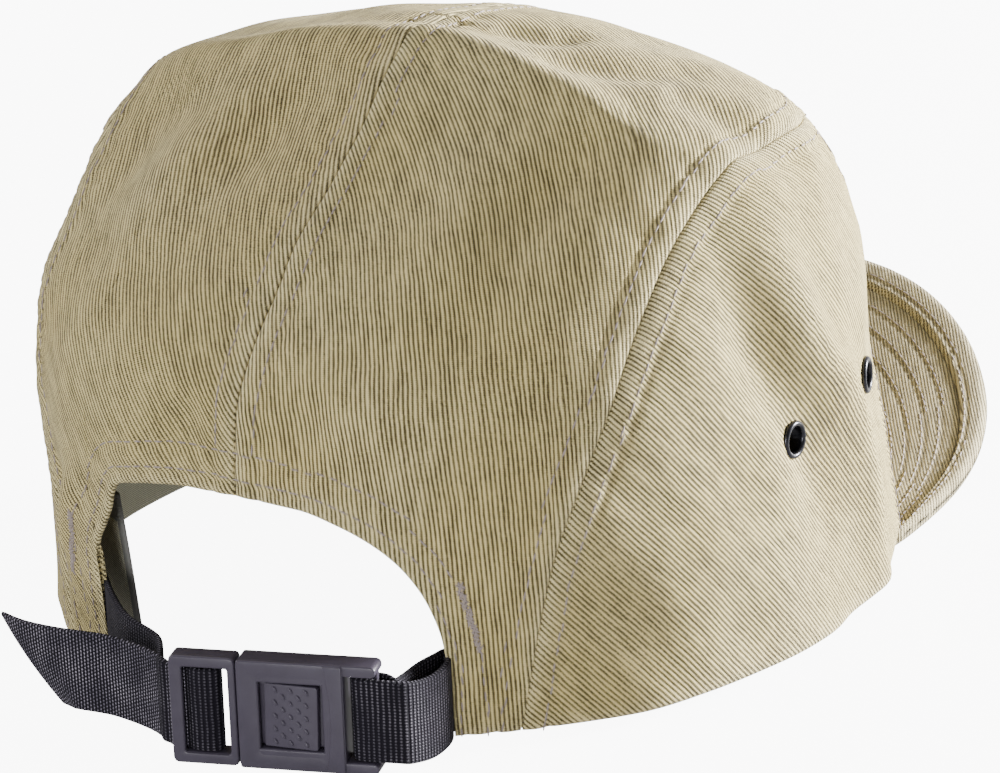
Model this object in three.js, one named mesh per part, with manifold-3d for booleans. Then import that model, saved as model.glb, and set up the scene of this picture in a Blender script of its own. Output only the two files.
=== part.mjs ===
// Five panel camp cap: a soft crown of five cloth panels over an open back arch, a stiff
// visor, a sweatband, four eyelets, and a webbing strap with a ladder lock and a push buckle.
// Millimetres, +Z up. The visor points towards -Y and the wearer's left is +X.
import * as THREE from "three";
import { mergeVertices } from "three/addons/utils/BufferGeometryUtils.js";
import Module from "manifold-3d";

const wasm = await Module();
wasm.setup();

// Crown
const RIM_HALF_WIDTH = 88;
const RIM_HALF_LENGTH = 98;
const CROWN_HEIGHT = 130;
const CLOTH = 1.6; // twill with its seam tape
const GAP = 0.3; // clear space between pieces that touch on the real cap

// Sweatband
const BAND_HEIGHT = 30;
const BAND_THICKNESS = 1.2;
const BAND_LEAN = 2; // how far its free top edge stands off the crown
const BAND_END = 1.5; // degrees from the arch's lower corner to the band's end

// Visor
const VISOR_HALF_WIDTH = 80;
const VISOR_REACH = 112; // from its two back corners to the middle of its front edge
const VISOR_THICKNESS = 3.2;
const VISOR_LIFT = 27; // how much higher the front edge is in the middle than at the corners
const VISOR_CORNER_HEIGHT = 4.2;
const VISOR_SQUARE = 2.6; // exponent of the outline, 2 for an ellipse
const VISOR_EDGE_BAND = 9; // width of the padded band round the outer edge
const VISOR_ROOT_ANGLE = 122; // where its corners meet the rim, in degrees from the back
const VISOR_CORNER_SETBACK = 4; // from there to the line between its outer corners

// Eyelets
const EYELET_RADIUS = 4;
const EYELET_HOLE_RADIUS = 2.5;
const EYELET_WALL = 0.5;
const EYELET_FLANGE = 0.8;
const EYELET_SEAT = 0.8; // from the curved cloth to the flat flange

// Strap
const STRAP_WIDTH = 18;
const STRAP_THICKNESS = 1.3;
const STRAP_PLY_GAP = 0.4; // between two plies that lie on each other

// Buckle, lengths along the strap
const BUCKLE_HEIGHT = 23.5;
const BUCKLE_LIFT = 0.4; // its lower edge above the rim's lowest point
const BUCKLE_ANGLE = 17; // degrees that it is turned from square across the back
const LADDER_LENGTH = 14;
const LADDER_THICKNESS = 5;
const LADDER_END_BAR = 2.7;
const LADDER_MIDDLE_BAR = 2.2;
const LADDER_INNER_BAR = 1.7;
const BAR_THICKNESS = 1.8;
const BODY_LENGTH = 22.4;
const BODY_THICKNESS = 6.2;
const BODY_WALL = 1.5;
const BODY_WINDOW_LENGTH = 13.3;
const BODY_WINDOW_HEIGHT = 16.3;
const HOOK_LENGTH = 6.7; // rails past the body that hold the webbing bar
const HOOK_BAR = 2.2;
const BUTTON_LENGTH = 11.3;
const BUTTON_HEIGHT = 13.8;
const DOT_RADIUS = 0.55;
const DOT_ROWS = 9;
const CORNER = 1.6;

// Finish
const CLOTH_COLOUR = 0xa89b74;
const BAND_COLOUR = 0x8b8c74;
const WEBBING_COLOUR = 0x3a383b;
const PLASTIC_COLOUR = 0x48454c;
const EYELET_COLOUR = 0x34323a;

// Rows of plain numbers under one line of column names.
const table = (columns, rows) => {
  const names = columns.split(" ");
  return rows.map((row) => Object.fromEntries(row.map((value, i) => [names[i], value])));
};

// A row for each section of the crown, from the rim up to the middle of the top.
// side is a share of RIM_HALF_WIDTH, back and front are shares of RIM_HALF_LENGTH, the three
// rises are shares of CROWN_HEIGHT, and the two squares are the exponents of the oval.
const SECTIONS = table("at side back front sideRise backRise frontRise backSquare frontSquare", [
  [0.0, 1.05, 0.97, 1.04, 0.02, -0.006, 0.05, 1.9, 2.3],
  [0.16, 1.03, 0.96, 1.02, 0.18, 0.17, 0.2, 2.05, 2.2],
  [0.32, 1.02, 0.94, 0.98, 0.35, 0.34, 0.38, 2.25, 2.0],
  [0.5, 1.01, 0.91, 0.91, 0.55, 0.51, 0.575, 2.4, 1.9],
  [0.66, 0.97, 0.7, 0.82, 0.725, 0.705, 0.755, 2.35, 1.8],
  [0.8, 0.86, 0.4, 0.61, 0.87, 0.865, 0.825, 2.25, 1.75],
  [0.9, 0.5, 0.21, 0.38, 0.955, 0.975, 0.945, 2.15, 1.85],
  [1.0, 0.0, 0.0, 0.0, 1.0, 1.0, 1.0, 2.0, 2.0],
]);

// Seams and edges of the left half. angle is in degrees round from the centre back, level is
// the place up the wall as in SECTIONS, and lean turns the rows of faces above it sideways.
const ARCH = table("angle level lean", [
  [0, 0.36, 0],
  [10, 0.352, 0],
  [15, 0.333, 0],
  [20, 0.302, 0],
  [24, 0.262, 0.3],
  [27, 0.21, 0.8],
  [28.6, 0.155, 1.4],
  [29.3, 0.08, 2],
  [29.5, 0, 2.6],
]);
const BACK_RIM = table("angle level lean", [
  [29.5, 0, 2.6],
  [38, 0, 0],
]);
const SIDE_SEAM = table("angle level lean", [
  [38, 0, 0],
  [41, 0.157, 0],
  [43, 0.27, 0],
  [50, 0.49, 0],
  [55.5, 0.647, 0],
  [59, 0.697, 0],
  [67, 0.75, 0],
  [75.5, 0.773, 0],
  [93, 0.777, 0],
  [110, 0.768, 0],
  [126, 0.765, 0],
]);
const FRONT_SEAM = table("angle level lean", [
  [126, 0.765, 0],
  [140, 0.785, 0],
  [160, 0.8, 0],
  [180, 0.8, 0],
]);

// Soft folds as straight creases: from and to as on the seams, angles below 0 on the right.
// width and rise are shares of CROWN_HEIGHT, and a rise below 0 is a valley.
const FOLDS = table("fromAngle fromLevel toAngle toLevel width rise", [
  [5, 0.93, -28, 0.905, 0.1, 0.014], // crest behind the top
  [-28, 0.905, -46, 0.82, 0.1, 0.014],
  [20, 0.985, -60, 0.96, 0.11, -0.02], // dip in front of the crest
  [-48.5, 0.82, -33, 0.69, 0.11, -0.016], // valley below the right shoulder
  [-71.5, 0.683, -84.5, 0.46, 0.11, 0.012], // crease down the right side
  [-84.5, 0.46, -104, 0.03, 0.11, 0.014],
  [71.5, 0.683, 84.5, 0.46, 0.11, 0.012], // and its match on the left
  [84.5, 0.46, 104, 0.03, 0.11, 0.014],
]);

const EYELETS = table("place angle level", [
  ["rear", 84, 0.34],
  ["front", 106.5, 0.36],
]);

// Padded edge and groove of the visor: from is the distance in from the outer edge as a share
// of VISOR_EDGE_BAND, and rise is the height over the middle as a share of VISOR_THICKNESS.
const VISOR_PROFILE = table("from rise", [
  [0.16, -0.02],
  [0.45, 0.14],
  [0.85, 0.12],
  [1.05, -0.1],
  [1.3, 0],
]);

// Plan of the strap's two sides, from the arch's edge to the buckle and on to the free end.
// x and y are shares of RIM_HALF_WIDTH and RIM_HALF_LENGTH.
const RIGHT_RUN = table("x y", [
  [-0.447, 0.862],
  [-0.472, 0.945],
]);
const LEFT_RUN = table("x y", [
  [0.4, 0.9],
  [0.28, 0.995],
  [0.136, 1.066],
]);
const FREE_RUN = table("x y", [
  [0.1, 1.12],
  [0.227, 1.092],
  [0.36, 1.097],
  [0.48, 1.071],
  [0.568, 1.036],
]);
const BUCKLE_CENTRE = { x: -0.226, y: 1.114 };
const STRAP_ROOT_ANGLES = [40, 35, 31.5, 29];
const STRAP_ROOM_ANGLES = [13, 27]; // degrees from the band's end where its bow round them fades

// How finely the surfaces are divided.
const ARCH_STEPS = 10;
const BACK_RIM_STEPS = 2;
const SIDE_SEAM_STEPS = 22;
const FRONT_SEAM_STEPS = 6;
const BACK_ROWS = 12;
const SIDE_ROWS = 8;
const FRONT_ROWS = 8;
const BAND_STEPS = 44;
const VISOR_STEPS = 26;
const VISOR_ROWS = 3;
const ROUND_SIDES = 14;

const radians = THREE.MathUtils.degToRad;
const mix = THREE.MathUtils.lerp;
const UP = new THREE.Vector3(0, 0, 1);
const STRAP_FOOT = BUCKLE_LIFT + (BUCKLE_HEIGHT - STRAP_WIDTH) / 2;
const STRAP_LEVEL = (STRAP_FOOT + STRAP_WIDTH / 2) / CROWN_HEIGHT;

// A curve through the values that never overshoots them. flatEnd levels it off at its end.
function smooth(places, values, flatEnd = false) {
  const steps = places.slice(1).map((place, i) => place - places[i]);
  const slopes = steps.map((step, i) => (values[i + 1] - values[i]) / step);
  const last = values.length - 1;
  const tangents = values.map((_, i) => {
    if (i === 0) return slopes[0];
    if (i === last) return flatEnd ? 0 : slopes[last - 1];
    if (slopes[i - 1] * slopes[i] <= 0) return 0;
    const before = 2 * steps[i] + steps[i - 1];
    const after = steps[i] + 2 * steps[i - 1];
    return (before + after) / (before / slopes[i - 1] + after / slopes[i]);
  });
  return (place) => {
    const next = places.findIndex((p, i) => i > 0 && place <= p);
    const i = next < 0 ? last - 1 : next - 1;
    const u = (place - places[i]) / steps[i];
    const swing = tangents[i] * (u - 2 * u * u + u * u * u) + tangents[i + 1] * (u * u * u - u * u);
    return mix(values[i], values[i + 1], u * u * (3 - 2 * u)) + swing * steps[i];
  };
}

const column = (name, flatEnd) =>
  smooth(
    SECTIONS.map((row) => row.at),
    SECTIONS.map((row) => row[name]),
    flatEnd,
  );
const side = column("side");
const back = column("back");
const front = column("front");
const sideRise = column("sideRise", true);
const backRise = column("backRise", true);
const frontRise = column("frontRise", true);
const backSquare = column("backSquare");
const frontSquare = column("frontSquare");

// The crown's smooth outer face, before its folds.
function plainCrown(angle, level) {
  const s = Math.sin(radians(angle));
  const c = Math.cos(radians(angle));
  const square = mix(frontSquare(level), backSquare(level), 0.5 + 0.5 * c);
  const radius = (Math.abs(s) ** square + Math.abs(c) ** square) ** (-1 / square);
  const reach = c > 0 ? back(level) : front(level);
  const endRise = c > 0 ? backRise(level) : frontRise(level);
  return new THREE.Vector3(
    RIM_HALF_WIDTH * side(level) * radius * s,
    RIM_HALF_LENGTH * reach * radius * c,
    CROWN_HEIGHT * mix(sideRise(level), endRise, c * c),
  );
}

// The way out of the crown's face. It is level at the rim, so that the rim's edge is flat.
function crownNormal(angle, level) {
  if (level > 0.999) return UP.clone();
  const low = Math.max(level - 0.01, 0);
  const high = Math.min(level + 0.01, 0.999);
  const round = plainCrown(angle + 0.5, level).sub(plainCrown(angle - 0.5, level));
  const rise = plainCrown(angle, high).sub(plainCrown(angle, low));
  const normal = rise.cross(round).normalize();
  if (level === 0) normal.setZ(0).normalize();
  return normal;
}

const creases = FOLDS.map((fold) => ({
  line: new THREE.Line3(
    plainCrown(fold.fromAngle, fold.fromLevel),
    plainCrown(fold.toAngle, fold.toLevel),
  ),
  width: fold.width * CROWN_HEIGHT,
  rise: fold.rise * CROWN_HEIGHT,
}));

// The crown's outer face with its folds, or a face at some depth behind it.
function crown(angle, level, depth = 0) {
  const point = plainCrown(angle, level);
  const nearest = new THREE.Vector3();
  let rise = -depth;
  for (const { line, width, rise: height } of creases) {
    line.closestPointToPoint(point, true, nearest);
    rise += height * Math.exp(-((nearest.distanceTo(point) / width) ** 2));
  }
  return point.addScaledVector(crownNormal(angle, level), rise);
}

// Evenly spaced places along a seam.
function along(seam, steps) {
  const points = seam.map((row) => plainCrown(row.angle, row.level));
  const run = [0];
  points.slice(1).forEach((point, i) => run.push(run[i] + point.distanceTo(points[i])));
  const columns = ["angle", "level", "lean"].map((name) => smooth(run, seam.map((row) => row[name])));
  return Array.from({ length: steps + 1 }, (_, k) => {
    const [angle, level, lean] = columns.map((value) => value((run.at(-1) * k) / steps));
    return { angle, level: Math.max(level, 0), lean };
  });
}

// A closed mesh from four-cornered faces given by their points. Faces that have shrunk to a
// line are dropped, and the mesh is turned to face out.
class Skin {
  points = [];
  triangles = [];
  known = new Map();

  corner(point) {
    const key = point.toArray().map((value) => Math.round(value * 1000)).join(" ");
    if (!this.known.has(key)) {
      this.known.set(key, this.points.length);
      this.points.push(point);
    }
    return this.known.get(key);
  }

  quad(a, b, c, d) {
    const [i, j, k, l] = [a, b, c, d].map((point) => this.corner(point));
    for (const triangle of [[i, j, k], [i, k, l]]) {
      if (new Set(triangle).size === 3) this.triangles.push(triangle);
    }
  }

  // Joins two rows of points into a strip.
  strip(lower, upper) {
    for (let i = 0; i + 1 < lower.length; i += 1) {
      this.quad(lower[i], lower[i + 1], upper[i + 1], upper[i]);
    }
  }

  geometry() {
    const volume = this.triangles.reduce((sum, triangle) => {
      const [a, b, c] = triangle.map((i) => this.points[i]);
      return sum + a.dot(b.clone().cross(c));
    }, 0);
    const order = volume < 0 ? [0, 2, 1] : [0, 1, 2];
    return new THREE.BufferGeometry()
      .setFromPoints(this.points)
      .setIndex(this.triangles.flatMap((triangle) => order.map((i) => triangle[i])));
  }
}

// A closed shell between an outer and an inner grid of points, both [column][row].
function shell(outer, inner) {
  const skin = new Skin();
  const last = outer.length - 1;
  for (let i = 0; i < last; i += 1) {
    skin.strip(outer[i], outer[i + 1]);
    skin.strip(inner[i + 1], inner[i]);
  }
  skin.strip(inner[0], outer[0]);
  skin.strip(outer[last], inner[last]);
  const edge = (grid, row) => grid.map((points) => points.at(row));
  skin.strip(edge(outer, 0), edge(inner, 0));
  skin.strip(edge(inner, -1), edge(outer, -1));
  return skin.geometry();
}

// Pulls one point of a seam back from it by half a gap, away from the seam's own line.
function pullBack(point, before, after, inside) {
  const line = after.clone().sub(before).normalize();
  const away = inside.clone().sub(point);
  away.addScaledVector(line, -away.dot(line)).normalize();
  return point.clone().addScaledVector(away, GAP / 2);
}

// One cloth panel. columns lists, for each line of faces, its places from bottom to top, and
// seams tells which edges meet another panel: bottom(i), top, first and last.
function panel(columns, seams) {
  const grids = [0, CLOTH].map((depth) =>
    columns.map((places) => places.map(({ angle, level }) => crown(angle, level, depth))),
  );
  return shell(
    ...grids.map((grid) => {
      const lastColumn = grid.length - 1;
      const lastRow = grid[0].length - 1;
      return grid.map((points, i) =>
        points.map((point, j) => {
          const left = grid[Math.max(i - 1, 0)];
          const right = grid[Math.min(i + 1, lastColumn)];
          const below = points[Math.max(j - 1, 0)];
          const above = points[Math.min(j + 1, lastRow)];
          let placed = point;
          const pull = (before, after, inside) => {
            placed = placed.clone().add(pullBack(point, before, after, inside)).sub(point);
          };
          if (j === 0 && seams.bottom(i)) pull(left[j], right[j], above);
          if (j === lastRow && seams.top) pull(left[j], right[j], below);
          if (i === 0 && seams.first) pull(below, above, right[j]);
          if (i === lastColumn && seams.last) pull(below, above, left[j]);
          return placed;
        }),
      );
    }),
  );
}

// A line of places from a lower one to an upper one. ease below 1 crowds them at the top.
function climb(lower, upper, rows, ease = 1) {
  return Array.from({ length: rows + 1 }, (_, j) => {
    const share = (j / rows) ** ease;
    return {
      angle: mix(lower.angle, upper.angle, share),
      level: mix(lower.level, upper.level, share),
    };
  });
}

const turned = (place, hand) => ({ ...place, angle: place.angle * hand, lean: place.lean * hand });

// Half of the back and top: from the arch, the rim and the side seam over the top to the front.
function backPanel(hand) {
  const arch = along(ARCH, ARCH_STEPS);
  const rim = along(BACK_RIM, BACK_RIM_STEPS).slice(1);
  const seam = along(SIDE_SEAM, SIDE_SEAM_STEPS).slice(1);
  const top = along(FRONT_SEAM, FRONT_SEAM_STEPS).slice(1);
  const feet = [...arch, ...rim, ...seam, ...top].map((place) => turned(place, hand));
  const firstSeam = arch.length + rim.length - 1;
  const columns = feet.map((foot) =>
    climb(foot, { angle: foot.angle + foot.lean, level: 1 }, BACK_ROWS, 0.85),
  );
  // The two halves meet on the middle plane, also at the very top.
  const half = panel(columns, { bottom: (i) => i >= firstSeam, top: false, first: false, last: false });
  const position = half.getAttribute("position");
  for (let i = 0; i < position.count; i += 1) {
    position.setX(i, hand * Math.max(position.getX(i) * hand, GAP / 2));
  }
  return half;
}

// One side: from the rim up to the side seam, from its low back corner to the front panel.
function sidePanel(hand) {
  const seam = along(SIDE_SEAM, SIDE_SEAM_STEPS);
  const tip = along(SIDE_SEAM, SIDE_SEAM_STEPS * 3)[1];
  const heads = [tip, ...seam.slice(1)].map((place) => turned(place, hand));
  const columns = heads.map((head) => climb({ angle: head.angle, level: 0 }, head, SIDE_ROWS));
  return panel(columns, { bottom: () => false, top: true, first: false, last: true });
}

function frontPanel() {
  const left = along(FRONT_SEAM, FRONT_SEAM_STEPS);
  const right = left.slice(0, -1).map((place) => ({ ...place, angle: 360 - place.angle }));
  const heads = [...left, ...right.reverse()];
  const columns = heads.map((head) => climb({ angle: head.angle, level: 0 }, head, FRONT_ROWS));
  return panel(columns, { bottom: () => false, top: true, first: true, last: true });
}

const bandEnd = ARCH.at(-1).angle + BAND_END;
const strapRoom = 2 * STRAP_THICKNESS + STRAP_PLY_GAP + 2 * GAP;

// The sweatband hugs the crown's inside, and makes room for the strap near its two ends.
function sweatband() {
  const levels = [0, BAND_HEIGHT / 2, BAND_HEIGHT].map((height) => height / CROWN_HEIGHT);
  const angles = Array.from({ length: BAND_STEPS + 1 }, (_, k) =>
    mix(bandEnd, 360 - bandEnd, k / BAND_STEPS),
  );
  const grid = (extra) =>
    angles.map((angle) => {
      const fromEnd = Math.min(angle, 360 - angle) - bandEnd;
      const room = strapRoom * (1 - THREE.MathUtils.smoothstep(fromEnd, ...STRAP_ROOM_ANGLES));
      return levels.map((level, j) => {
        const lean = (BAND_LEAN * j) / (levels.length - 1);
        return crown(angle, level, CLOTH + 2 * GAP + Math.max(room, lean) + extra);
      });
    });
  return shell(grid(0), grid(BAND_THICKNESS));
}

// A place on the visor: across from -1 to 1 between its back corners, out from 0 at the rim to
// 1 at its edge.
function visorPlace(across, out) {
  const turn = (across * Math.PI) / 2;
  const bend = (value) => Math.sign(value) * Math.abs(value) ** (2 / VISOR_SQUARE);
  const angle = 180 - across * (180 - VISOR_ROOT_ANGLE);
  const root = crown(angle, 0, CLOTH).setZ(crown(angle, 0).z - GAP - CLOTH / 2);
  const corners = plainCrown(VISOR_ROOT_ANGLE, 0).y - VISOR_CORNER_SETBACK;
  const edge = new THREE.Vector3(
    VISOR_HALF_WIDTH * bend(Math.sin(turn)),
    corners - VISOR_REACH * bend(Math.cos(turn)),
    VISOR_CORNER_HEIGHT - GAP + VISOR_LIFT * Math.max(Math.cos(turn), 0) ** VISOR_SQUARE,
  );
  return { point: root.clone().lerp(edge, out), length: root.distanceTo(edge) };
}

function visor() {
  const rows = Array.from({ length: VISOR_STEPS + 1 }, (_, k) => {
    const across = mix(-1, 1, k / VISOR_STEPS);
    const { length } = visorPlace(across, 1);
    const band = Math.min(VISOR_EDGE_BAND, length / 2);
    const inner = Array.from({ length: VISOR_ROWS }, (_, j) => [
      ((1 - (1.3 * band) / length) * j) / VISOR_ROWS,
      0,
    ]);
    const outer = VISOR_PROFILE.map(({ from, rise }) => [1 - (from * band) / length, rise]).reverse();
    const top = [...inner, ...outer].map(([out, rise]) =>
      visorPlace(across, out).point.addScaledVector(UP, (rise * VISOR_THICKNESS * band) / VISOR_EDGE_BAND),
    );
    const nose = visorPlace(across, 1).point.addScaledVector(UP, -VISOR_THICKNESS / 2);
    const under = [...inner, ...outer].map(([out]) =>
      visorPlace(across, out).point.addScaledVector(UP, -VISOR_THICKNESS),
    );
    return { top: [...top, nose], under: [...under, nose] };
  });
  return shell(
    rows.map((row) => row.top),
    rows.map((row) => row.under),
  );
}

// A geometry as a solid that can be joined and cut, and back.
function solid(geometry) {
  const bare = geometry.clone();
  bare.deleteAttribute("normal");
  bare.deleteAttribute("uv");
  const merged = mergeVertices(bare, 1e-3);
  return new wasm.Manifold(
    new wasm.Mesh({
      numProp: 3,
      vertProperties: new Float32Array(merged.attributes.position.array),
      triVerts: new Uint32Array(merged.index.array),
    }),
  );
}

function meshed(body) {
  const { vertProperties, triVerts } = body.getMesh();
  return new THREE.BufferGeometry()
    .setAttribute("position", new THREE.BufferAttribute(vertProperties, 3))
    .setIndex(new THREE.BufferAttribute(triVerts, 1));
}

// Sets a geometry made round the Z axis on the crown, with +Z pointing out of it.
function onCrown(geometry, angle, level) {
  const turn = new THREE.Quaternion().setFromUnitVectors(UP, crownNormal(angle, level));
  const place = crown(angle, level);
  return geometry.applyQuaternion(turn).translate(place.x, place.y, place.z);
}

// A rolled metal eyelet: an outer flange, a tube through the cloth and a flange behind it.
function eyelet() {
  const tube = EYELET_HOLE_RADIUS + EYELET_WALL;
  const outside = EYELET_SEAT;
  const inside = -CLOTH - EYELET_SEAT;
  const profile = [
    [EYELET_HOLE_RADIUS, inside - EYELET_FLANGE / 2],
    [EYELET_RADIUS, inside - EYELET_FLANGE / 2],
    [EYELET_RADIUS, inside],
    [tube, inside],
    [tube, outside],
    [EYELET_RADIUS, outside],
    [EYELET_RADIUS, outside + EYELET_FLANGE / 3],
    [mix(EYELET_HOLE_RADIUS, EYELET_RADIUS, 0.6), outside + EYELET_FLANGE],
    [EYELET_HOLE_RADIUS, outside + EYELET_FLANGE / 2],
    [EYELET_HOLE_RADIUS, inside - EYELET_FLANGE / 2],
  ].map(([radius, height]) => new THREE.Vector2(radius, height));
  const ring = new THREE.LatheGeometry(profile, ROUND_SIDES);
  return ring.rotateX(Math.PI / 2);
}

function punched(geometry, hand) {
  return meshed(
    EYELETS.reduce((body, { angle, level }) => {
      const radius = EYELET_HOLE_RADIUS + EYELET_WALL + GAP;
      const punch = new THREE.CylinderGeometry(radius, radius, 8 * CLOTH, ROUND_SIDES);
      punch.rotateX(Math.PI / 2);
      return body.subtract(solid(onCrown(punch, angle * hand, level)));
    }, solid(geometry)),
  );
}

// A plan path that keeps one distance to the side of another.
function beside(path, distance) {
  return path.map((point, i) => {
    const before = path[Math.max(i - 1, 0)];
    const after = path[Math.min(i + 1, path.length - 1)];
    const line = after.clone().sub(before).normalize();
    return new THREE.Vector2(-line.y, line.x).multiplyScalar(distance).add(point);
  });
}

// A flat tape that stands on edge along a plan path.
function tape(path) {
  const half = STRAP_THICKNESS / 2;
  const outline = new THREE.Shape([...beside(path, half), ...beside(path, -half).reverse()]);
  return new THREE.ExtrudeGeometry(outline, { depth: STRAP_WIDTH, bevelEnabled: false })
    .translate(0, 0, STRAP_FOOT);
}

const buckleCentre = new THREE.Vector2(
  BUCKLE_CENTRE.x * RIM_HALF_WIDTH,
  BUCKLE_CENTRE.y * RIM_HALF_LENGTH,
);
const buckleLength = LADDER_LENGTH + GAP + BODY_LENGTH + HOOK_LENGTH;

// A plan point given by how far it is left of the buckle's middle and out of its face.
function atBuckle(left, out) {
  return new THREE.Vector2(left, out)
    .rotateAround(new THREE.Vector2(), radians(BUCKLE_ANGLE))
    .add(buckleCentre);
}

const ladderLeft = buckleLength / 2;
const middleBar = ladderLeft - (LADDER_LENGTH - LADDER_INNER_BAR + LADDER_END_BAR) / 2;
const bodyLeft = ladderLeft - LADDER_LENGTH - GAP;
const hookBar = -buckleLength / 2 + HOOK_BAR / 2;
const ply = (STRAP_THICKNESS + STRAP_PLY_GAP) / 2;

// Half a turn round a bar, from its outer face to its inner one, on the side given by hand.
function turnRound(bar, width, hand) {
  const out = BAR_THICKNESS / 2 + GAP + STRAP_THICKNESS / 2;
  const past = (width - BAR_THICKNESS / 2) / 2;
  const bend = Array.from({ length: 7 }, (_, k) => {
    const turn = Math.PI * (0.5 - k / 6);
    return atBuckle(bar + hand * (past + out * Math.cos(turn)), out * Math.sin(turn));
  });
  const ends = [out, -out].map((face) => atBuckle(bar - hand * width, face));
  return [ends[0], ...bend, ends[1]];
}

const curve = (points, steps) => new THREE.SplineCurve(points).getPoints(steps);

function planPoints(run) {
  return run.map(({ x, y }) => new THREE.Vector2(x * RIM_HALF_WIDTH, y * RIM_HALF_LENGTH));
}

// Where one or two plies lie against the inside of the back panel.
function rootPoints(hand, plies) {
  const depth = CLOTH + 2 * GAP + (plies * STRAP_THICKNESS + (plies - 1) * STRAP_PLY_GAP) / 2;
  return STRAP_ROOT_ANGLES.map((angle) => {
    const { x, y } = crown(angle * hand, STRAP_LEVEL, depth);
    return new THREE.Vector2(x, y);
  });
}

// The short side: a doubled loop that holds the buckle's body by its webbing bar.
function strapRight() {
  const entry = atBuckle(hookBar - 2.5 * HOOK_BAR, 0);
  const middle = curve([...rootPoints(-1, 2), ...planPoints(RIGHT_RUN), entry], 14);
  const round = turnRound(hookBar, HOOK_BAR, 1);
  return tape([...beside(middle, ply), ...round, ...beside(middle, -ply).reverse()]);
}

// The long side: from the crown behind the ladder, round its middle bar and out to the end.
function strapLeft() {
  const underEndBar = BAR_THICKNESS / 2 - STRAP_THICKNESS / 2 - GAP / 2;
  const underFree = underEndBar - STRAP_THICKNESS - STRAP_PLY_GAP;
  const loaded = curve(
    [
      ...rootPoints(1, 1),
      ...planPoints(LEFT_RUN),
      atBuckle(ladderLeft + LADDER_END_BAR, underFree),
      atBuckle(ladderLeft - LADDER_END_BAR, underFree),
    ],
    18,
  );
  const round = turnRound(middleBar, LADDER_MIDDLE_BAR, -1).reverse();
  const free = curve(
    [
      atBuckle(ladderLeft - 1.3 * LADDER_END_BAR, underEndBar),
      atBuckle(ladderLeft - LADDER_END_BAR / 2, underEndBar),
      atBuckle(ladderLeft + GAP, underEndBar),
      ...planPoints(FREE_RUN),
    ],
    14,
  );
  return tape([...loaded, ...round, ...free]);
}

// A rectangle with round corners, centred on x and at mid height of the buckle.
function plateOutline(outline, x, length, height, corner) {
  const left = x - length / 2;
  const foot = -height / 2;
  outline.moveTo(left + corner, foot);
  outline.lineTo(left + length - corner, foot);
  outline.absarc(left + length - corner, foot + corner, corner, -Math.PI / 2, 0);
  outline.lineTo(left + length, foot + height - corner);
  outline.absarc(left + length - corner, foot + height - corner, corner, 0, Math.PI / 2);
  outline.lineTo(left + corner, foot + height);
  outline.absarc(left + corner, foot + height - corner, corner, Math.PI / 2, Math.PI);
  outline.lineTo(left, foot + corner);
  outline.absarc(left + corner, foot + corner, corner, Math.PI, Math.PI * 1.5);
  return outline;
}

// A flat plate that stands along the buckle, from its outer face back by its thickness.
function plate(x, length, height, corner, outerFace, thickness) {
  const outline = plateOutline(new THREE.Shape(), x, length, height, corner);
  const geometry = new THREE.ExtrudeGeometry(outline, {
    depth: thickness,
    bevelEnabled: false,
    curveSegments: 3,
  });
  return solid(geometry.rotateX(Math.PI / 2).translate(0, outerFace, 0));
}

function placedOnStrap(body) {
  return meshed(body)
    .rotateZ(radians(BUCKLE_ANGLE))
    .translate(buckleCentre.x, buckleCentre.y, BUCKLE_LIFT + BUCKLE_HEIGHT / 2);
}

const slotHeight = STRAP_WIDTH + 2 * GAP;
const cavityHeight = BUTTON_HEIGHT + 2 * GAP;

// The ladder lock with its tongue and the dotted button that holds it in the body.
function latch() {
  const middle = ladderLeft - LADDER_LENGTH / 2;
  const windowLength = LADDER_LENGTH - LADDER_END_BAR - LADDER_INNER_BAR;
  const windowMiddle = ladderLeft - LADDER_END_BAR - windowLength / 2;
  const face = LADDER_THICKNESS / 2;
  const frame = plate(middle, LADDER_LENGTH, BUCKLE_HEIGHT, CORNER, face, LADDER_THICKNESS)
    .subtract(plate(windowMiddle, windowLength, slotHeight, 0.4, face + 1, LADDER_THICKNESS + 2));
  const bar = plate(middleBar, LADDER_MIDDLE_BAR, BUCKLE_HEIGHT - 1, 0.3, BAR_THICKNESS / 2, BAR_THICKNESS);
  // The end bar stays in front of both plies of webbing.
  const reliefFace = BAR_THICKNESS / 2 + 1.5 * GAP;
  const relief = plate(ladderLeft, 3 * LADDER_END_BAR, slotHeight, 0.4, reliefFace, LADDER_THICKNESS);
  const tongueLength = BODY_LENGTH - BODY_WALL;
  const tongueMiddle = ladderLeft - LADDER_LENGTH + 1 - tongueLength / 2;
  const tongueThickness = BODY_THICKNESS - 2 * BODY_WALL - 2 * GAP;
  const tongue = plate(
    tongueMiddle, tongueLength, BUTTON_HEIGHT, CORNER / 2, tongueThickness / 2, tongueThickness);
  const buttonMiddle = bodyLeft - BODY_LENGTH / 2;
  const buttonFace = BODY_THICKNESS / 2 - GAP;
  const button = plate(
    buttonMiddle, BUTTON_LENGTH, BUTTON_HEIGHT, CORNER / 2, buttonFace, BODY_THICKNESS / 2);
  const dots = [];
  for (let row = 0; row < DOT_ROWS; row += 1) {
    const count = row % 2 ? 2 : 3;
    for (let k = 0; k < count; k += 1) {
      const dot = new THREE.CylinderGeometry(DOT_RADIUS * 0.6, DOT_RADIUS, 2 * GAP, 6)
        .translate(
          buttonMiddle + (k - (count - 1) / 2) * (BUTTON_LENGTH / 4),
          buttonFace,
          (row - (DOT_ROWS - 1) / 2) * (BUTTON_HEIGHT / (DOT_ROWS + 1)),
        );
      dots.push(solid(dot));
    }
  }
  return dots.reduce((body, dot) => body.add(dot), frame.add(bar).subtract(relief).add(tongue).add(button));
}

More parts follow.
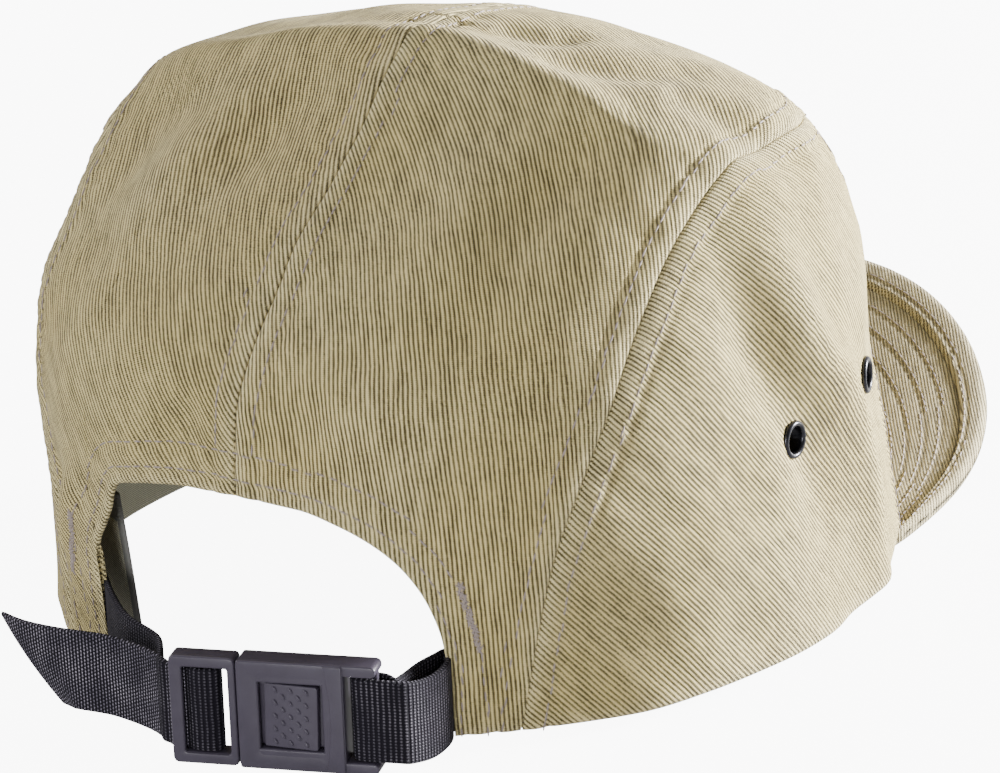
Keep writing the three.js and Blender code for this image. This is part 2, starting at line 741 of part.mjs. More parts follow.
// The body: a flat sleeve with a window for the button, and a webbing bar between two rails.
function buckleBody() {
  const middle = bodyLeft - BODY_LENGTH / 2;
  const face = BODY_THICKNESS / 2;
  const whole = BODY_LENGTH + HOOK_LENGTH;
  const shellBody = plate(bodyLeft - whole / 2, whole, BUCKLE_HEIGHT, CORNER, face, BODY_THICKNESS);
  const cavity = plate(
    bodyLeft - (BODY_LENGTH - BODY_WALL) / 2 + 1, BODY_LENGTH - BODY_WALL + 2, cavityHeight,
    0.3, face - BODY_WALL, BODY_THICKNESS - 2 * BODY_WALL);
  const opening = plate(
    middle, BODY_WINDOW_LENGTH, BODY_WINDOW_HEIGHT, 0.8, face + 1, BODY_THICKNESS / 2 + 1);
  const slotLength = HOOK_LENGTH - HOOK_BAR;
  const slot = plate(
    bodyLeft - BODY_LENGTH - slotLength / 2, slotLength, slotHeight, 0.4, face + 1, BODY_THICKNESS + 2);
  const pocket = [1, -1].map((hand) =>
    plate(
      hookBar - HOOK_BAR / 2, 2 * HOOK_BAR, slotHeight, 0.2,
      hand > 0 ? face + 1 : -BAR_THICKNESS / 2, face + 1 - BAR_THICKNESS / 2),
  );
  return [cavity, opening, slot, ...pocket].reduce((body, cut) => body.subtract(cut), shellBody);
}

const finish = (color, roughness, metalness = 0) =>
  new THREE.MeshStandardMaterial({ color, roughness, metalness });
const twill = finish(CLOTH_COLOUR, 0.92);
const bandCloth = finish(BAND_COLOUR, 0.9);
const webbing = finish(WEBBING_COLOUR, 0.85);
const plastic = finish(PLASTIC_COLOUR, 0.38);
const gunmetal = finish(EYELET_COLOUR, 0.25, 0.9);

const cap = new THREE.Group();
function add(name, geometry, material) {
  const mesh = new THREE.Mesh(geometry, material);
  mesh.name = name;
  cap.add(mesh);
}

add("front_panel", frontPanel(), twill);
for (const [name, hand] of [["left", 1], ["right", -1]]) {
  add(`side_panel_${name}`, punched(sidePanel(hand), hand), twill);
  add(`back_panel_${name}`, backPanel(hand), twill);
  for (const { place, angle, level } of EYELETS) {
    add(`eyelet_${name}_${place}`, onCrown(eyelet(), angle * hand, level), gunmetal);
  }
}
add("visor", visor(), twill);
add("sweatband", sweatband(), bandCloth);
add("strap_left", strapLeft(), webbing);
add("strap_right", strapRight(), webbing);
add("buckle_latch", placedOnStrap(latch()), plastic);
add("buckle_body", placedOnStrap(buckleBody()), plastic);

// The origin lies under the middle of the whole cap, on the surface that it rests on.
const bounds = new THREE.Box3().setFromObject(cap);
const centre = bounds.getCenter(new THREE.Vector3());
cap.position.set(-centre.x, -centre.y, -bounds.min.z);

export default cap;
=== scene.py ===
# %% [markdown]
# # A five panel cap
# The real cap is sewn from khaki twill: one front panel, two sides, and two back panels that
# run over the top and leave an open arch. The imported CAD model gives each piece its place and
# size. This file dresses it: finer cloth with folds, seams, stitches and weave, turned
# eyelets, woven straps and a moulded buckle.

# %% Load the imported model
import bmesh
import bpy
import numpy as np
from mathutils import Matrix, Vector
from mathutils.bvhtree import BVHTree


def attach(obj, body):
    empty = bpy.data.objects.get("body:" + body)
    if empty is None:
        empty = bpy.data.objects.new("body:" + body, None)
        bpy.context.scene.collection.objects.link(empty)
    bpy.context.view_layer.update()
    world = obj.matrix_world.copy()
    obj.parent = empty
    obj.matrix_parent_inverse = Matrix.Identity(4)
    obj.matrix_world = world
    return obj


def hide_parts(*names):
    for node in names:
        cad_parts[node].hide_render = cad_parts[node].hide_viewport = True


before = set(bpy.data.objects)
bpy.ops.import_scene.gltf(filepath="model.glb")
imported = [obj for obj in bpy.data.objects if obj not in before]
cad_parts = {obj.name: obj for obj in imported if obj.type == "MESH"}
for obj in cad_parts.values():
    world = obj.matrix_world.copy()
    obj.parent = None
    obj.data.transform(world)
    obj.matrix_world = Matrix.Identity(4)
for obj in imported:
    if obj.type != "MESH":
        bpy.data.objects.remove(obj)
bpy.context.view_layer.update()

# %% [markdown]
# ## Sizes
# Everything is in metres, in the CAD model's frame. The same sizes and the same short table of
# crown sections are repeated here, so the fine cloth lies where its CAD wall lies.

# %% Sizes
MM = 0.001
RIM_HALF_WIDTH = 88 * MM
RIM_HALF_LENGTH = 98 * MM
CROWN_HEIGHT = 130 * MM
CROWN_AXIS = np.array([0, 26.798, 0.605]) * MM  # where the crown's own axis stands
CLOTH = 1.6 * MM
GAP = 0.3 * MM
STITCH_LINE = 5.7 * MM  # from a seam to the row of stitches beside it
HEM_LINES = (2.6 * MM, 8.4 * MM)  # from the arch's edge to its two rows
STITCH = 2.9 * MM
THREAD = 0.42 * MM
SEAM_STEP = 0.5 * MM  # between the points of a seam's line, where distances to it are measured

# at, side, back, front, side rise, back rise, front rise, back square, front square
SECTIONS = np.array([
    (0.00, 1.05, 0.97, 1.04, 0.020, -0.006, 0.050, 1.90, 2.30),
    (0.16, 1.03, 0.96, 1.02, 0.180, 0.170, 0.200, 2.05, 2.20),
    (0.32, 1.02, 0.94, 0.98, 0.350, 0.340, 0.380, 2.25, 2.00),
    (0.50, 1.01, 0.91, 0.91, 0.550, 0.510, 0.575, 2.40, 1.90),
    (0.66, 0.97, 0.70, 0.82, 0.725, 0.705, 0.755, 2.35, 1.80),
    (0.80, 0.86, 0.40, 0.61, 0.870, 0.865, 0.825, 2.25, 1.75),
    (0.90, 0.50, 0.21, 0.38, 0.955, 0.975, 0.945, 2.15, 1.85),
    (1.00, 0.00, 0.00, 0.00, 1.000, 1.000, 1.000, 2.00, 2.00),
])

# angle round from the centre back, level up the wall, lean of the cloth's columns above it
ARCH = [
    (0, 0.36, 0), (10, 0.352, 0), (15, 0.333, 0), (20, 0.302, 0), (24, 0.262, 0.3),
    (27, 0.21, 0.8), (28.6, 0.155, 1.4), (29.3, 0.08, 2), (29.5, 0, 2.6),
]
# The hem of the left half has been pushed into a sharper corner, and leans in at its foot.
ARCH_LEFT = [
    (0, 0.36, 0), (8.5, 0.358, 0), (14, 0.349, 0), (18, 0.339, 0), (20.6, 0.33, 0.1),
    (22, 0.312, 0.2), (22.9, 0.285, 0.4), (24.6, 0.25, 0.8), (26.6, 0.215, 1), (27.4, 0.175, 1.4),
    (27.2, 0.12, 2), (26.6, 0.06, 2.4), (26.2, 0, 2.8),
]
BACK_RIM = [(29.5, 0, 2.6), (38, 0, 0)]
BACK_RIM_LEFT = [(26.2, 0, 2.8), (38, 0, 0)]
SIDE_SEAM = [
    (38, 0, 0), (41, 0.157, 0), (43, 0.27, 0), (50, 0.49, 0), (55.5, 0.647, 0), (59, 0.697, 0),
    (67, 0.75, 0), (75.5, 0.773, 0), (93, 0.777, 0), (110, 0.768, 0), (126, 0.765, 0),
]
FRONT_SEAM = [(126, 0.765, 0), (140, 0.785, 0), (160, 0.8, 0), (180, 0.8, 0)]
FRONT_EDGE = [(126, 0, 0), (126, 0.765, 0)]


# %% [markdown]
# ## The crown's surface
# The cap is not a sphere or any other simple solid, so its shape is a stack of ovals. A smooth
# curve that never overshoots joins the table's rows. A point is then named by its angle round
# the head and its level up the wall, which makes seams and folds easy to write down.

# %% Curves through the table
def gentle(places, values, flat_end=False):
    """A curve through the values that never overshoots them."""
    steps = np.diff(places)
    slopes = np.diff(values) / steps
    tangents = np.zeros(len(values))
    tangents[0] = slopes[0]
    tangents[-1] = 0 if flat_end else slopes[-1]
    for i in range(1, len(values) - 1):
        if slopes[i - 1] * slopes[i] > 0:
            before, after = 2 * steps[i] + steps[i - 1], steps[i] + 2 * steps[i - 1]
            tangents[i] = (before + after) / (before / slopes[i - 1] + after / slopes[i])

    def curve(at):
        i = np.clip(np.searchsorted(places, at) - 1, 0, len(steps) - 1)
        u = (at - places[i]) / steps[i]
        blend = u * u * (3 - 2 * u)
        swing = tangents[i] * (u - 2 * u**2 + u**3) + tangents[i + 1] * (u**3 - u**2)
        return values[i] * (1 - blend) + values[i + 1] * blend + swing * steps[i]

    return curve


side, back, front = [gentle(SECTIONS[:, 0], SECTIONS[:, k]) for k in (1, 2, 3)]
side_rise, back_rise, front_rise = [gentle(SECTIONS[:, 0], SECTIONS[:, k], True) for k in (4, 5, 6)]
back_square, front_square = [gentle(SECTIONS[:, 0], SECTIONS[:, k]) for k in (7, 8)]


# %% Points and normals of the plain crown
NEAR_TOP = 0.999  # above this level the cloth faces straight up


def plain_crown(angle, level):
    """Points on the crown before any fold or seam."""
    turn = np.radians(angle)
    s, c = np.sin(turn), np.cos(turn)
    share = 0.5 + 0.5 * c
    square = front_square(level) * (1 - share) + back_square(level) * share
    radius = (np.abs(s) ** square + np.abs(c) ** square) ** (-1 / square)
    reach = np.where(c > 0, back(level), front(level))
    end_rise = np.where(c > 0, back_rise(level), front_rise(level))
    rise = side_rise(level) * (1 - c * c) + end_rise * c * c
    x = RIM_HALF_WIDTH * side(level) * radius * s
    y = RIM_HALF_LENGTH * reach * radius * c
    return np.stack([x, y, CROWN_HEIGHT * rise], -1) + CROWN_AXIS


def unit(vectors):
    return vectors / np.maximum(np.linalg.norm(vectors, axis=-1, keepdims=True), 1e-12)


def crown_normal(angle, level):
    """The way straight out of the plain crown."""
    low, high = np.clip(level - 0.01, 0, 0.99), np.clip(level + 0.01, 0, NEAR_TOP)
    beside_top = np.minimum(level, NEAR_TOP)
    around = plain_crown(angle + 0.5, beside_top) - plain_crown(angle - 0.5, beside_top)
    rise = plain_crown(angle, high) - plain_crown(angle, low)
    normal = unit(np.cross(rise, around))
    return np.where(np.asarray(level)[..., None] > NEAR_TOP, [0.0, 0.0, 1.0], normal)


# %% Places along a seam
def seam_places(seam, spacing, hand=1):
    """Angles, levels and leans at even steps along a seam, and how far along each one is."""
    rows = np.array(seam, float)
    fine = np.linspace(0, len(rows) - 1, 40 * len(rows))
    knots = np.arange(len(rows))
    points = plain_crown(np.interp(fine, knots, rows[:, 0]), np.interp(fine, knots, rows[:, 1]))
    length = np.r_[0, np.cumsum(np.linalg.norm(np.diff(points, axis=0), axis=1))]
    at_rows = np.interp(knots, fine, length)
    if np.isscalar(spacing):
        spacing = np.linspace(0, length[-1], max(int(round(length[-1] / spacing)), 1) + 1)
    places = np.clip(spacing, 0, length[-1])
    angle, level, lean = [gentle(at_rows, rows[:, k])(places) for k in range(3)]
    return angle * hand, np.maximum(level, 0), lean * hand, places


def seam_points(seam, hand=1):
    """The line of a seam on the plain crown, as points close together."""
    return plain_crown(*seam_places(seam, SEAM_STEP, hand)[:2])


print("top of the crown:", plain_crown(np.array(0.0), np.array(1.0)).round(4))

# %% [markdown]
# ## Folds and seams as relief
# Cloth that has been washed and worn is never smooth. A simulation would fold it somewhere
# else on each change, so the folds of this cap are written down instead: each is a path over
# the crown with a width and a height along it. Seams get a groove, a swollen ridge where the
# cloth lies double, and a pulled row where the stitches bite, with small puckers between them.

# %% The folds
FOLD_DEPTH = 1.4  # every fold is this many times as high as the table says
# width in mm, then angle, level and height in mm along the path; a height below 0 is a valley
FOLDS = {
    "right valley": (6.5, [(-48.5, .823, -.7), (-41, .8, -1.8), (-34.5, .75, -2.4), (-32, .693, -2.3),
                           (-30, .633, -1.9), (-27, .58, -1.1), (-22.5, .537, 0)]),
    "ridge behind it": (10, [(-38, .835, .6), (-30, .8, 1.4), (-25, .75, 1.6), (-24, .69, 1.6),
                             (-22, .63, 1), (-19, .57, 0)]),
    "ridge before it": (11, [(-58, .8, .4), (-48, .75, 1.4), (-43, .68, 1.6), (-40, .6, 1),
                             (-36, .5, 0)]),
    "wave": (4, [(-6, .85, 0), (-10, .815, .8), (-15, .783, 1), (-20, .765, 1), (-23.5, .735, .8),
                 (-22.5, .7, 0)]),
    "hollow": (8, [(-5, .71, -.5), (-8, .735, -1), (-11, .76, -.4)]),
    "left valley": (8, [(14, .885, 0), (17, .85, -1.6), (18.5, .8, -2.2), (19.5, .75, -1.8),
                        (19, .7, -1), (17, .64, 0)]),
    "left ridge": (9, [(24, .85, .5), (26, .8, 1.3), (26.5, .745, 1.3), (26, .69, .6), (24, .63, 0)]),
    "left shoulder": (10, [(46, .83, 0), (44.5, .78, -1.6), (43.5, .72, -2), (41, .66, -1.6),
                           (38, .6, -1), (34, .53, 0)]),
    "crest": (5.5, [(77.5, .8, .3), (50.5, .877, 1), (14.5, .927, 1.8), (-10.5, .923, 2),
                    (-27.5, .907, 2.2), (-41.5, .863, 2.2), (-52, .81, 1.2), (-64, .777, .3)]),
    "high dip": (5, [(-55, .97, -.3), (-77, .96, -1.6), (-93.5, .943, -1.8), (-112, .93, 0)]),
    "low dip": (6, [(-45, .91, 0), (-60, .905, -1.2), (-73, .89, -1.5), (-92, .875, -.8),
                    (-105, .86, 0)]),
    "shoulder dip": (6, [(-70, .86, 0), (-76.5, .847, -1), (-84.5, .783, -1.2), (-92.5, .75, -1),
                         (-100, .72, 0)]),
    "right crease": (7, [(-72, .71, .2), (-77, .637, 1.4), (-82.5, .563, 2.4), (-88.5, .46, 3),
                         (-98, .337, 3), (-101, .23, 2.6), (-106.5, .02, 1.8)]),
    "right hollow": (7, [(-64, .7, -.3), (-69, .62, -1.2), (-73, .54, -1.8), (-78, .44, -2),
                         (-86, .31, -2), (-90, .2, -1.5), (-95, .02, -.6)]),
    "left crease": (9, [(72, .7, .2), (80, .56, 1.6), (86, .44, 1.8), (98, .24, 1.6), (104, .02, 1.2)]),
    "hem dent left": (4, [(7, .53, 0), (7.8, .48, -.8), (8, .43, -.4)]),
    "hem dent right": (4, [(-11, .55, 0), (-10.6, .5, -.8), (-10, .45, -.4)]),
    "hem corner": (6, [(-34, .41, 0), (-31, .383, -1.2), (-28, .34, -.6)]),
    "strap pull right": (4, [(-31.5, .29, -.3), (-36, .3, -.8), (-41, .305, 0)]),
    "strap bulge": (5, [(31, .3, .4), (33.5, .26, 1.5), (36, .2, 1.7), (35.5, .13, .9), (34, .06, 0)]),
    "strap pleat": (3.5, [(36, .33, 0), (38.5, .27, -1.2), (40, .19, -1.3), (38.5, .1, 0)]),
    "front slack": (12, [(160, .7, 0), (168, .55, -1), (172, .4, 0)]),
    "front slack right": (12, [(200, .68, 0), (194, .5, -1), (190, .35, 0)]),
}


# %% Distance to a path, and the relief of the folds
def nearest(points, path):
    """Distance from each point to a path, and which of the path's points is nearest."""
    distance, index = np.empty(len(points)), np.empty(len(points), int)
    for start in range(0, len(points), 4000):
        block = points[start:start + 4000]
        square = ((block[:, None] - path[None]) ** 2).sum(-1)
        index[start:start + 4000] = square.argmin(1)
        distance[start:start + 4000] = np.sqrt(square.min(1))
    for step in (-1, 1):
        begin = path[index]
        line = path[np.clip(index + step, 0, len(path) - 1)] - begin
        share = ((points - begin) * line).sum(-1) / np.maximum((line**2).sum(-1), 1e-18)
        foot = begin + line * np.clip(share, 0, 1)[:, None]
        distance = np.minimum(distance, np.linalg.norm(points - foot, axis=-1))
    return distance, index


def fold_relief(points):
    height = np.zeros(len(points))
    for width, rows in FOLDS.values():
        rows = np.array(rows, float)
        knots = np.arange(len(rows))
        fine = np.linspace(0, len(rows) - 1, 14 * len(rows))
        angle, level, rise = [gentle(knots, rows[:, k])(fine) for k in range(3)]
        distance, index = nearest(points, plain_crown(angle, level))
        height += FOLD_DEPTH * rise[index] * MM * np.exp(-((distance / (width * MM)) ** 2))
    return height


# Slow waves that keep the cloth from lying dead flat, always the same ones.
SLACK_HEIGHT = 0.16 * MM
WAVES = np.random.default_rng(5)
WAVE_ROWS = unit(WAVES.normal(size=(9, 3))) * 2 * np.pi / WAVES.uniform(0.018, 0.06, (9, 1))
WAVE_PHASES = WAVES.uniform(0, 2 * np.pi, 9)


def slack(points):
    return SLACK_HEIGHT * np.sin(points @ WAVE_ROWS.T + WAVE_PHASES).sum(-1)


# %% Puckers
PUCKER_LENGTH = 0.0076
PUCKER_DRIFT = 0.033  # over this length the puckers crowd together and part again
PUCKER_SWELL = 0.052  # and over this one they grow and fade


def pucker(along, pull):
    """Irregular small waves along a row of stitches."""
    turn = 2 * np.pi * along
    wave = np.sin(turn / PUCKER_LENGTH + 1.4 * np.sin(turn / PUCKER_DRIFT) + pull)
    return wave * (0.6 + 0.4 * np.sin(turn / PUCKER_SWELL + 2 * pull))


def bell(distance, middle, width):
    return np.exp(-(((distance - middle) / width) ** 2))


# %% The relief of the seams
RIDGE_HEIGHT = 0.34 * MM  # where the cloth lies double beside a seam
RIDGE_PLACE = 2.7 * MM
RIDGE_WIDTH = 2 * MM
ROW_DEPTH = 0.34 * MM  # of the pulled row under the stitches
ROW_WIDTH = 0.8 * MM
PUCKER_HEIGHT = 0.26 * MM
PUCKER_WIDTH = 4 * MM
HEM_ROW_DEPTH = 0.3 * MM
HEM_RIDGE_HEIGHT = 0.3 * MM
HEM_RIDGE_PLACE = 5.4 * MM
HEM_RIDGE_WIDTH = 2.4 * MM
HEM_PUCKER_HEIGHT = 0.24 * MM
HEM_PUCKER_WIDTH = 5 * MM

SEAM_RUNS = [seam_points(seam, hand)
             for hand in (1, -1) for seam in (SIDE_SEAM, FRONT_SEAM, FRONT_EDGE)]
HEM_RUN = np.concatenate([seam_points(ARCH_LEFT)[::-1], seam_points(ARCH, -1)[1:]])


def sewn_relief(distance, along, pull):
    """Ridge, pulled row and puckers on one side of a seam."""
    ridge = RIDGE_HEIGHT * bell(distance, RIDGE_PLACE, RIDGE_WIDTH)
    row = ROW_DEPTH * bell(distance, STITCH_LINE, ROW_WIDTH)
    waves = PUCKER_HEIGHT * pucker(along, pull) * bell(distance, STITCH_LINE, PUCKER_WIDTH)
    return ridge - row + waves


def seam_relief(points, on_top):
    """on_top is 1 for a back panel, which has the middle seam and the hem, and 0 for others."""
    height = np.zeros(len(points))
    for pull, run in enumerate(SEAM_RUNS):
        distance, index = nearest(points, run)
        height += sewn_relief(distance, index * SEAM_STEP, pull)
    middle = np.abs(points[:, 0])
    along = points[:, 2] - points[:, 1]
    height += on_top * sewn_relief(middle, along, np.sign(points[:, 0]) * 2)
    distance, index = nearest(points, HEM_RUN)
    for row in HEM_LINES:
        height -= HEM_ROW_DEPTH * bell(distance, row, ROW_WIDTH) * on_top
    swell = pucker(index * SEAM_STEP, 1) * bell(distance, HEM_LINES[1], HEM_PUCKER_WIDTH)
    ridge = bell(distance, HEM_RIDGE_PLACE, HEM_RIDGE_WIDTH)
    return height + (HEM_PUCKER_HEIGHT * swell + HEM_RIDGE_HEIGHT * ridge) * on_top


def crown(angle, level, on_top=0.0):
    """Points on the outer face of the finished cloth, and the normals under them."""
    angle, level = np.broadcast_arrays(np.asarray(angle, float), np.asarray(level, float))
    plain = plain_crown(angle, level)
    points = plain.reshape(-1, 3)
    normal = crown_normal(angle, level)
    height = fold_relief(points) + slack(points) + seam_relief(points, np.ravel(on_top))
    return plain + height.reshape(angle.shape + (1,)) * normal, normal


# %% [markdown]
# ## Laying the cloth flat
# Twill ribs run straight on the cloth before it is cut, and bend only because the panel bends.
# Painting them from the world's axes would stretch them on the shoulders. So each panel is
# laid flat again with Blender's unwrap, turned to the grain that it was cut on, and brought to
# real scale: the V axis of its UV map follows the ribs, in metres.

# %% Grids of points as meshes
def grid_faces(columns, rows, start=0, flip=False):
    """The four-sided faces between the points of a grid that is stored column by column."""
    i, j = np.meshgrid(np.arange(columns - 1), np.arange(rows - 1), indexing="ij")
    a = (start + i * rows + j).ravel()
    quads = np.stack([a, a + rows, a + rows + 1, a + 1], -1)
    return quads[:, ::-1] if flip else quads


def new_object(name, points, faces, uv=None, values=None):
    """A mesh object from arrays. uv has a row per point, and values maps names to numbers."""
    mesh = bpy.data.meshes.new(name)
    mesh.from_pydata(np.reshape(points, (-1, 3)).tolist(), [], np.asarray(faces).tolist())
    loops = np.empty(len(mesh.loops), int)
    mesh.loops.foreach_get("vertex_index", loops)
    if uv is not None:
        layer = mesh.uv_layers.new(name="cloth")
        layer.data.foreach_set("uv", np.reshape(uv, (-1, 2))[loops].ravel())
    for key, numbers in (values or {}).items():
        mesh.attributes.new(key, "FLOAT", "POINT").data.foreach_set("value", np.ravel(numbers))
    obj = bpy.data.objects.new(name, mesh)
    bpy.context.scene.collection.objects.link(obj)
    return obj


def close_up(obj, reach=0.02 * MM):
    """Merges doubled points, drops faces that shrank to a line, and turns the faces outwards."""
    bm = bmesh.new()
    bm.from_mesh(obj.data)
    bmesh.ops.remove_doubles(bm, verts=bm.verts, dist=reach)
    bmesh.ops.dissolve_degenerate(bm, edges=bm.edges, dist=reach / 10)
    bmesh.ops.recalc_face_normals(bm, faces=bm.faces)
    bm.to_mesh(obj.data)
    bm.free()
    obj.data.shade_smooth()
    return obj


# %% Unwrap a grid and turn it to the grain
def thinned(count):
    """Every second place, and always the last."""
    return np.unique(np.r_[np.arange(0, count, 2), count - 1])


def refilled(points, coarse, axis):
    """Puts the places that thinned left out back between their neighbours, by distance."""
    points, coarse = np.swapaxes(points, 0, axis), np.swapaxes(coarse, 0, axis)
    kept = thinned(len(points))
    missing = np.setdiff1d(np.arange(len(points)), kept)
    before = np.linalg.norm(points[missing] - points[missing - 1], axis=-1)
    after = np.linalg.norm(points[missing + 1] - points[missing], axis=-1)
    share = (before / np.maximum(before + after, 1e-9))[..., None]
    made = np.empty((len(points),) + coarse.shape[1:])
    made[kept] = coarse
    made[missing] = made[missing - 1] * (1 - share) + made[missing + 1] * share
    return np.swapaxes(made, 0, axis)


def unwrapped(points):
    """UV of a coarse grid of points, at the scale that Blender's unwrap gives."""
    columns, rows = points.shape[:2]
    sheet = new_object("flat", points, grid_faces(columns, rows))
    sheet.data.uv_layers.new(name="cloth")
    bpy.ops.object.select_all(action="DESELECT")
    bpy.context.view_layer.objects.active = sheet
    sheet.select_set(True)
    bpy.ops.object.mode_set(mode="EDIT")
    bpy.ops.mesh.select_all(action="SELECT")
    bpy.ops.uv.unwrap(method="MINIMUM_STRETCH", margin=0, iterations=20)
    bpy.ops.object.mode_set(mode="OBJECT")
    loops = np.empty(len(sheet.data.loops), int)
    sheet.data.loops.foreach_get("vertex_index", loops)
    flat = np.empty(2 * len(loops))
    sheet.data.uv_layers["cloth"].data.foreach_get("uv", flat)
    uv = np.zeros((columns * rows, 2))
    uv[loops] = flat.reshape(-1, 2)
    bpy.data.objects.remove(sheet)
    return uv.reshape(columns, rows, 2)


def turned(uv, lean, anchor):
    """UV with its ribs along V, leaning to the left of the grid's column at anchor."""
    heading = uv[anchor[0], anchor[1] + 2] - uv[anchor]
    swing = np.pi / 2 - np.radians(lean) - np.arctan2(heading[1], heading[0])
    c, s = np.cos(swing), np.sin(swing)
    return (uv - uv[anchor]) @ np.array([[c, s], [-s, c]])


def laid_flat(points, lean, anchor):
    """UV of a grid of points in metres. The ribs run along V and lean to the left of the
    column at anchor by lean degrees, as seen from outside."""
    some_columns, some_rows = thinned(points.shape[0]), thinned(points.shape[1])
    uv = unwrapped(points[np.ix_(some_columns, some_rows)])
    uv = refilled(points, refilled(points[some_columns], uv, 1), 0)
    across, up = points[1:, :-1] - points[:-1, :-1], points[:-1, 1:] - points[:-1, :-1]
    uv_across, uv_up = uv[1:, :-1] - uv[:-1, :-1], uv[:-1, 1:] - uv[:-1, :-1]
    area = np.linalg.norm(np.cross(across, up), axis=-1).sum()
    turn = uv_across[..., 0] * uv_up[..., 1] - uv_across[..., 1] * uv_up[..., 0]
    outward = np.cross(across, up)[anchor] @ (points[anchor] - CROWN_AXIS)
    uv *= np.sqrt(area / abs(turn.sum()))
    if turn.sum() * outward < 0:
        uv[..., 0] *= -1
    return turned(uv, lean, anchor)


# %% Thickness: an outer and an inner face that meet in a round edge
def cloth_shell(name, outer, normal, edge_distance, uv, thickness=CLOTH, round_off=1.1 * MM):
    """edge_distance is how far each point is from the cut edge of the panel."""
    for border in (np.s_[0], np.s_[-1], np.s_[:, 0], np.s_[:, -1]):
        edge_distance[border] = 0
    share = np.clip(edge_distance / round_off, 0, 1)
    half = thickness / 2 * np.sqrt(1 - (1 - share) ** 2)[..., None]
    middle = outer - normal * thickness / 2
    columns, rows = outer.shape[:2]
    points = np.concatenate([(middle + normal * half).reshape(-1, 3),
                             (middle - normal * half).reshape(-1, 3)])
    faces = np.concatenate([grid_faces(columns, rows),
                            grid_faces(columns, rows, columns * rows, flip=True)])
    # Lighter near the cut edges: partly wear, partly a painted highlight on the seam ridges.
    edge_wear_and_highlight = np.exp(-edge_distance / (2.2 * MM)).ravel()
    return close_up(new_object(name, points, faces, np.tile(np.reshape(uv, (-1, 2)), (2, 1)),
                               {"edge_wear_and_highlight": np.tile(edge_wear_and_highlight, 2)}))


NEAR_SEAM = np.array([0, 0.15, 0.4, 0.75, 1.1, 1.6, 2.2, 2.8,
                      3.4, 4, 4.6, 5.2, 5.7, 6.2, 7, 8.2]) * MM
SHORT_COLUMN = 45 * MM  # on a column shorter than this the close rows shrink with it


def row_shares(length, fine_start, fine_end, count):
    """Places from 0 to 1 up a column of the given length, close together near its ends."""
    shrink = min(1, length / SHORT_COLUMN)
    start = NEAR_SEAM * shrink if fine_start else NEAR_SEAM[:1]
    end = NEAR_SEAM * shrink if fine_end else NEAR_SEAM[:1]
    middle = np.linspace(start[-1], length - end[-1], count + 2)[1:-1]
    return np.concatenate([start, middle, (length - end)[::-1]]) / length


print("folds:", len(FOLDS))

# %% [markdown]
# ## The two back panels
# Each back panel is one piece of cloth from the arch over the top to the front seam. Its grid
# climbs from that outline to the middle of the top, close together beside every seam, where
# the stitches pull. The edge of each panel is rounded, so that the two halves meet in a groove
# as sewn cloth does. That grid bunches into slivers beside the arch, and laying it flat would
# shear the ribs there. So the UV map comes from a second, even grid that has no arch.

# %% Back panels
BACK_ANCHOR_ANGLE = 16
BACK_LEANS = {1: 33, -1: 14}  # degrees that the ribs lean, on the left and the right half
BACK_ROWS = 100
EVEN_COLUMNS = 181
EVEN_ROWS = 91
EVEN_TOP = 0.985  # the even grid stops a little below the top, where its columns would meet


def near_both_ends(seam, spacing, first, last):
    """Places along a seam, at the given spacing, but close together near its ends."""
    length = seam_places(seam, spacing)[3][-1]
    return row_shares(length, first, last, int(length / spacing)) * length


def seam_foot(angle):
    """Level of the side and front seams at an angle, and 0 behind them."""
    angles, levels, _, _ = seam_places(SIDE_SEAM + FRONT_SEAM[1:], 1 * MM)
    return np.interp(np.abs(angle), angles, levels)


def back_uv(hand, angles, levels):
    """UV at any places of a back panel, from an even grid over it that leaves out the arch."""
    columns, rows, top = EVEN_COLUMNS, EVEN_ROWS, EVEN_TOP
    grid_angle = np.repeat(np.linspace(0, 180, columns)[:, None], rows, 1)
    foot = seam_foot(grid_angle)
    even, _ = crown(grid_angle * hand, foot + (1 - foot) * np.linspace(0, top, rows), 0)
    uv = laid_flat(even, 0, (columns // 2, rows // 2))
    foot = seam_foot(angles)
    across = angles * hand / 180 * (columns - 1)
    up = (levels - foot) / (1 - foot) / top * (rows - 1)
    column = np.clip(across.astype(int), 0, columns - 2)
    row = np.clip(up.astype(int), 0, rows - 2)
    right, above = (across - column)[..., None], (up - row)[..., None]
    low = uv[column, row] * (1 - right) + uv[column + 1, row] * right
    high = uv[column, row + 1] * (1 - right) + uv[column + 1, row + 1] * right
    return low * (1 - above) + high * above


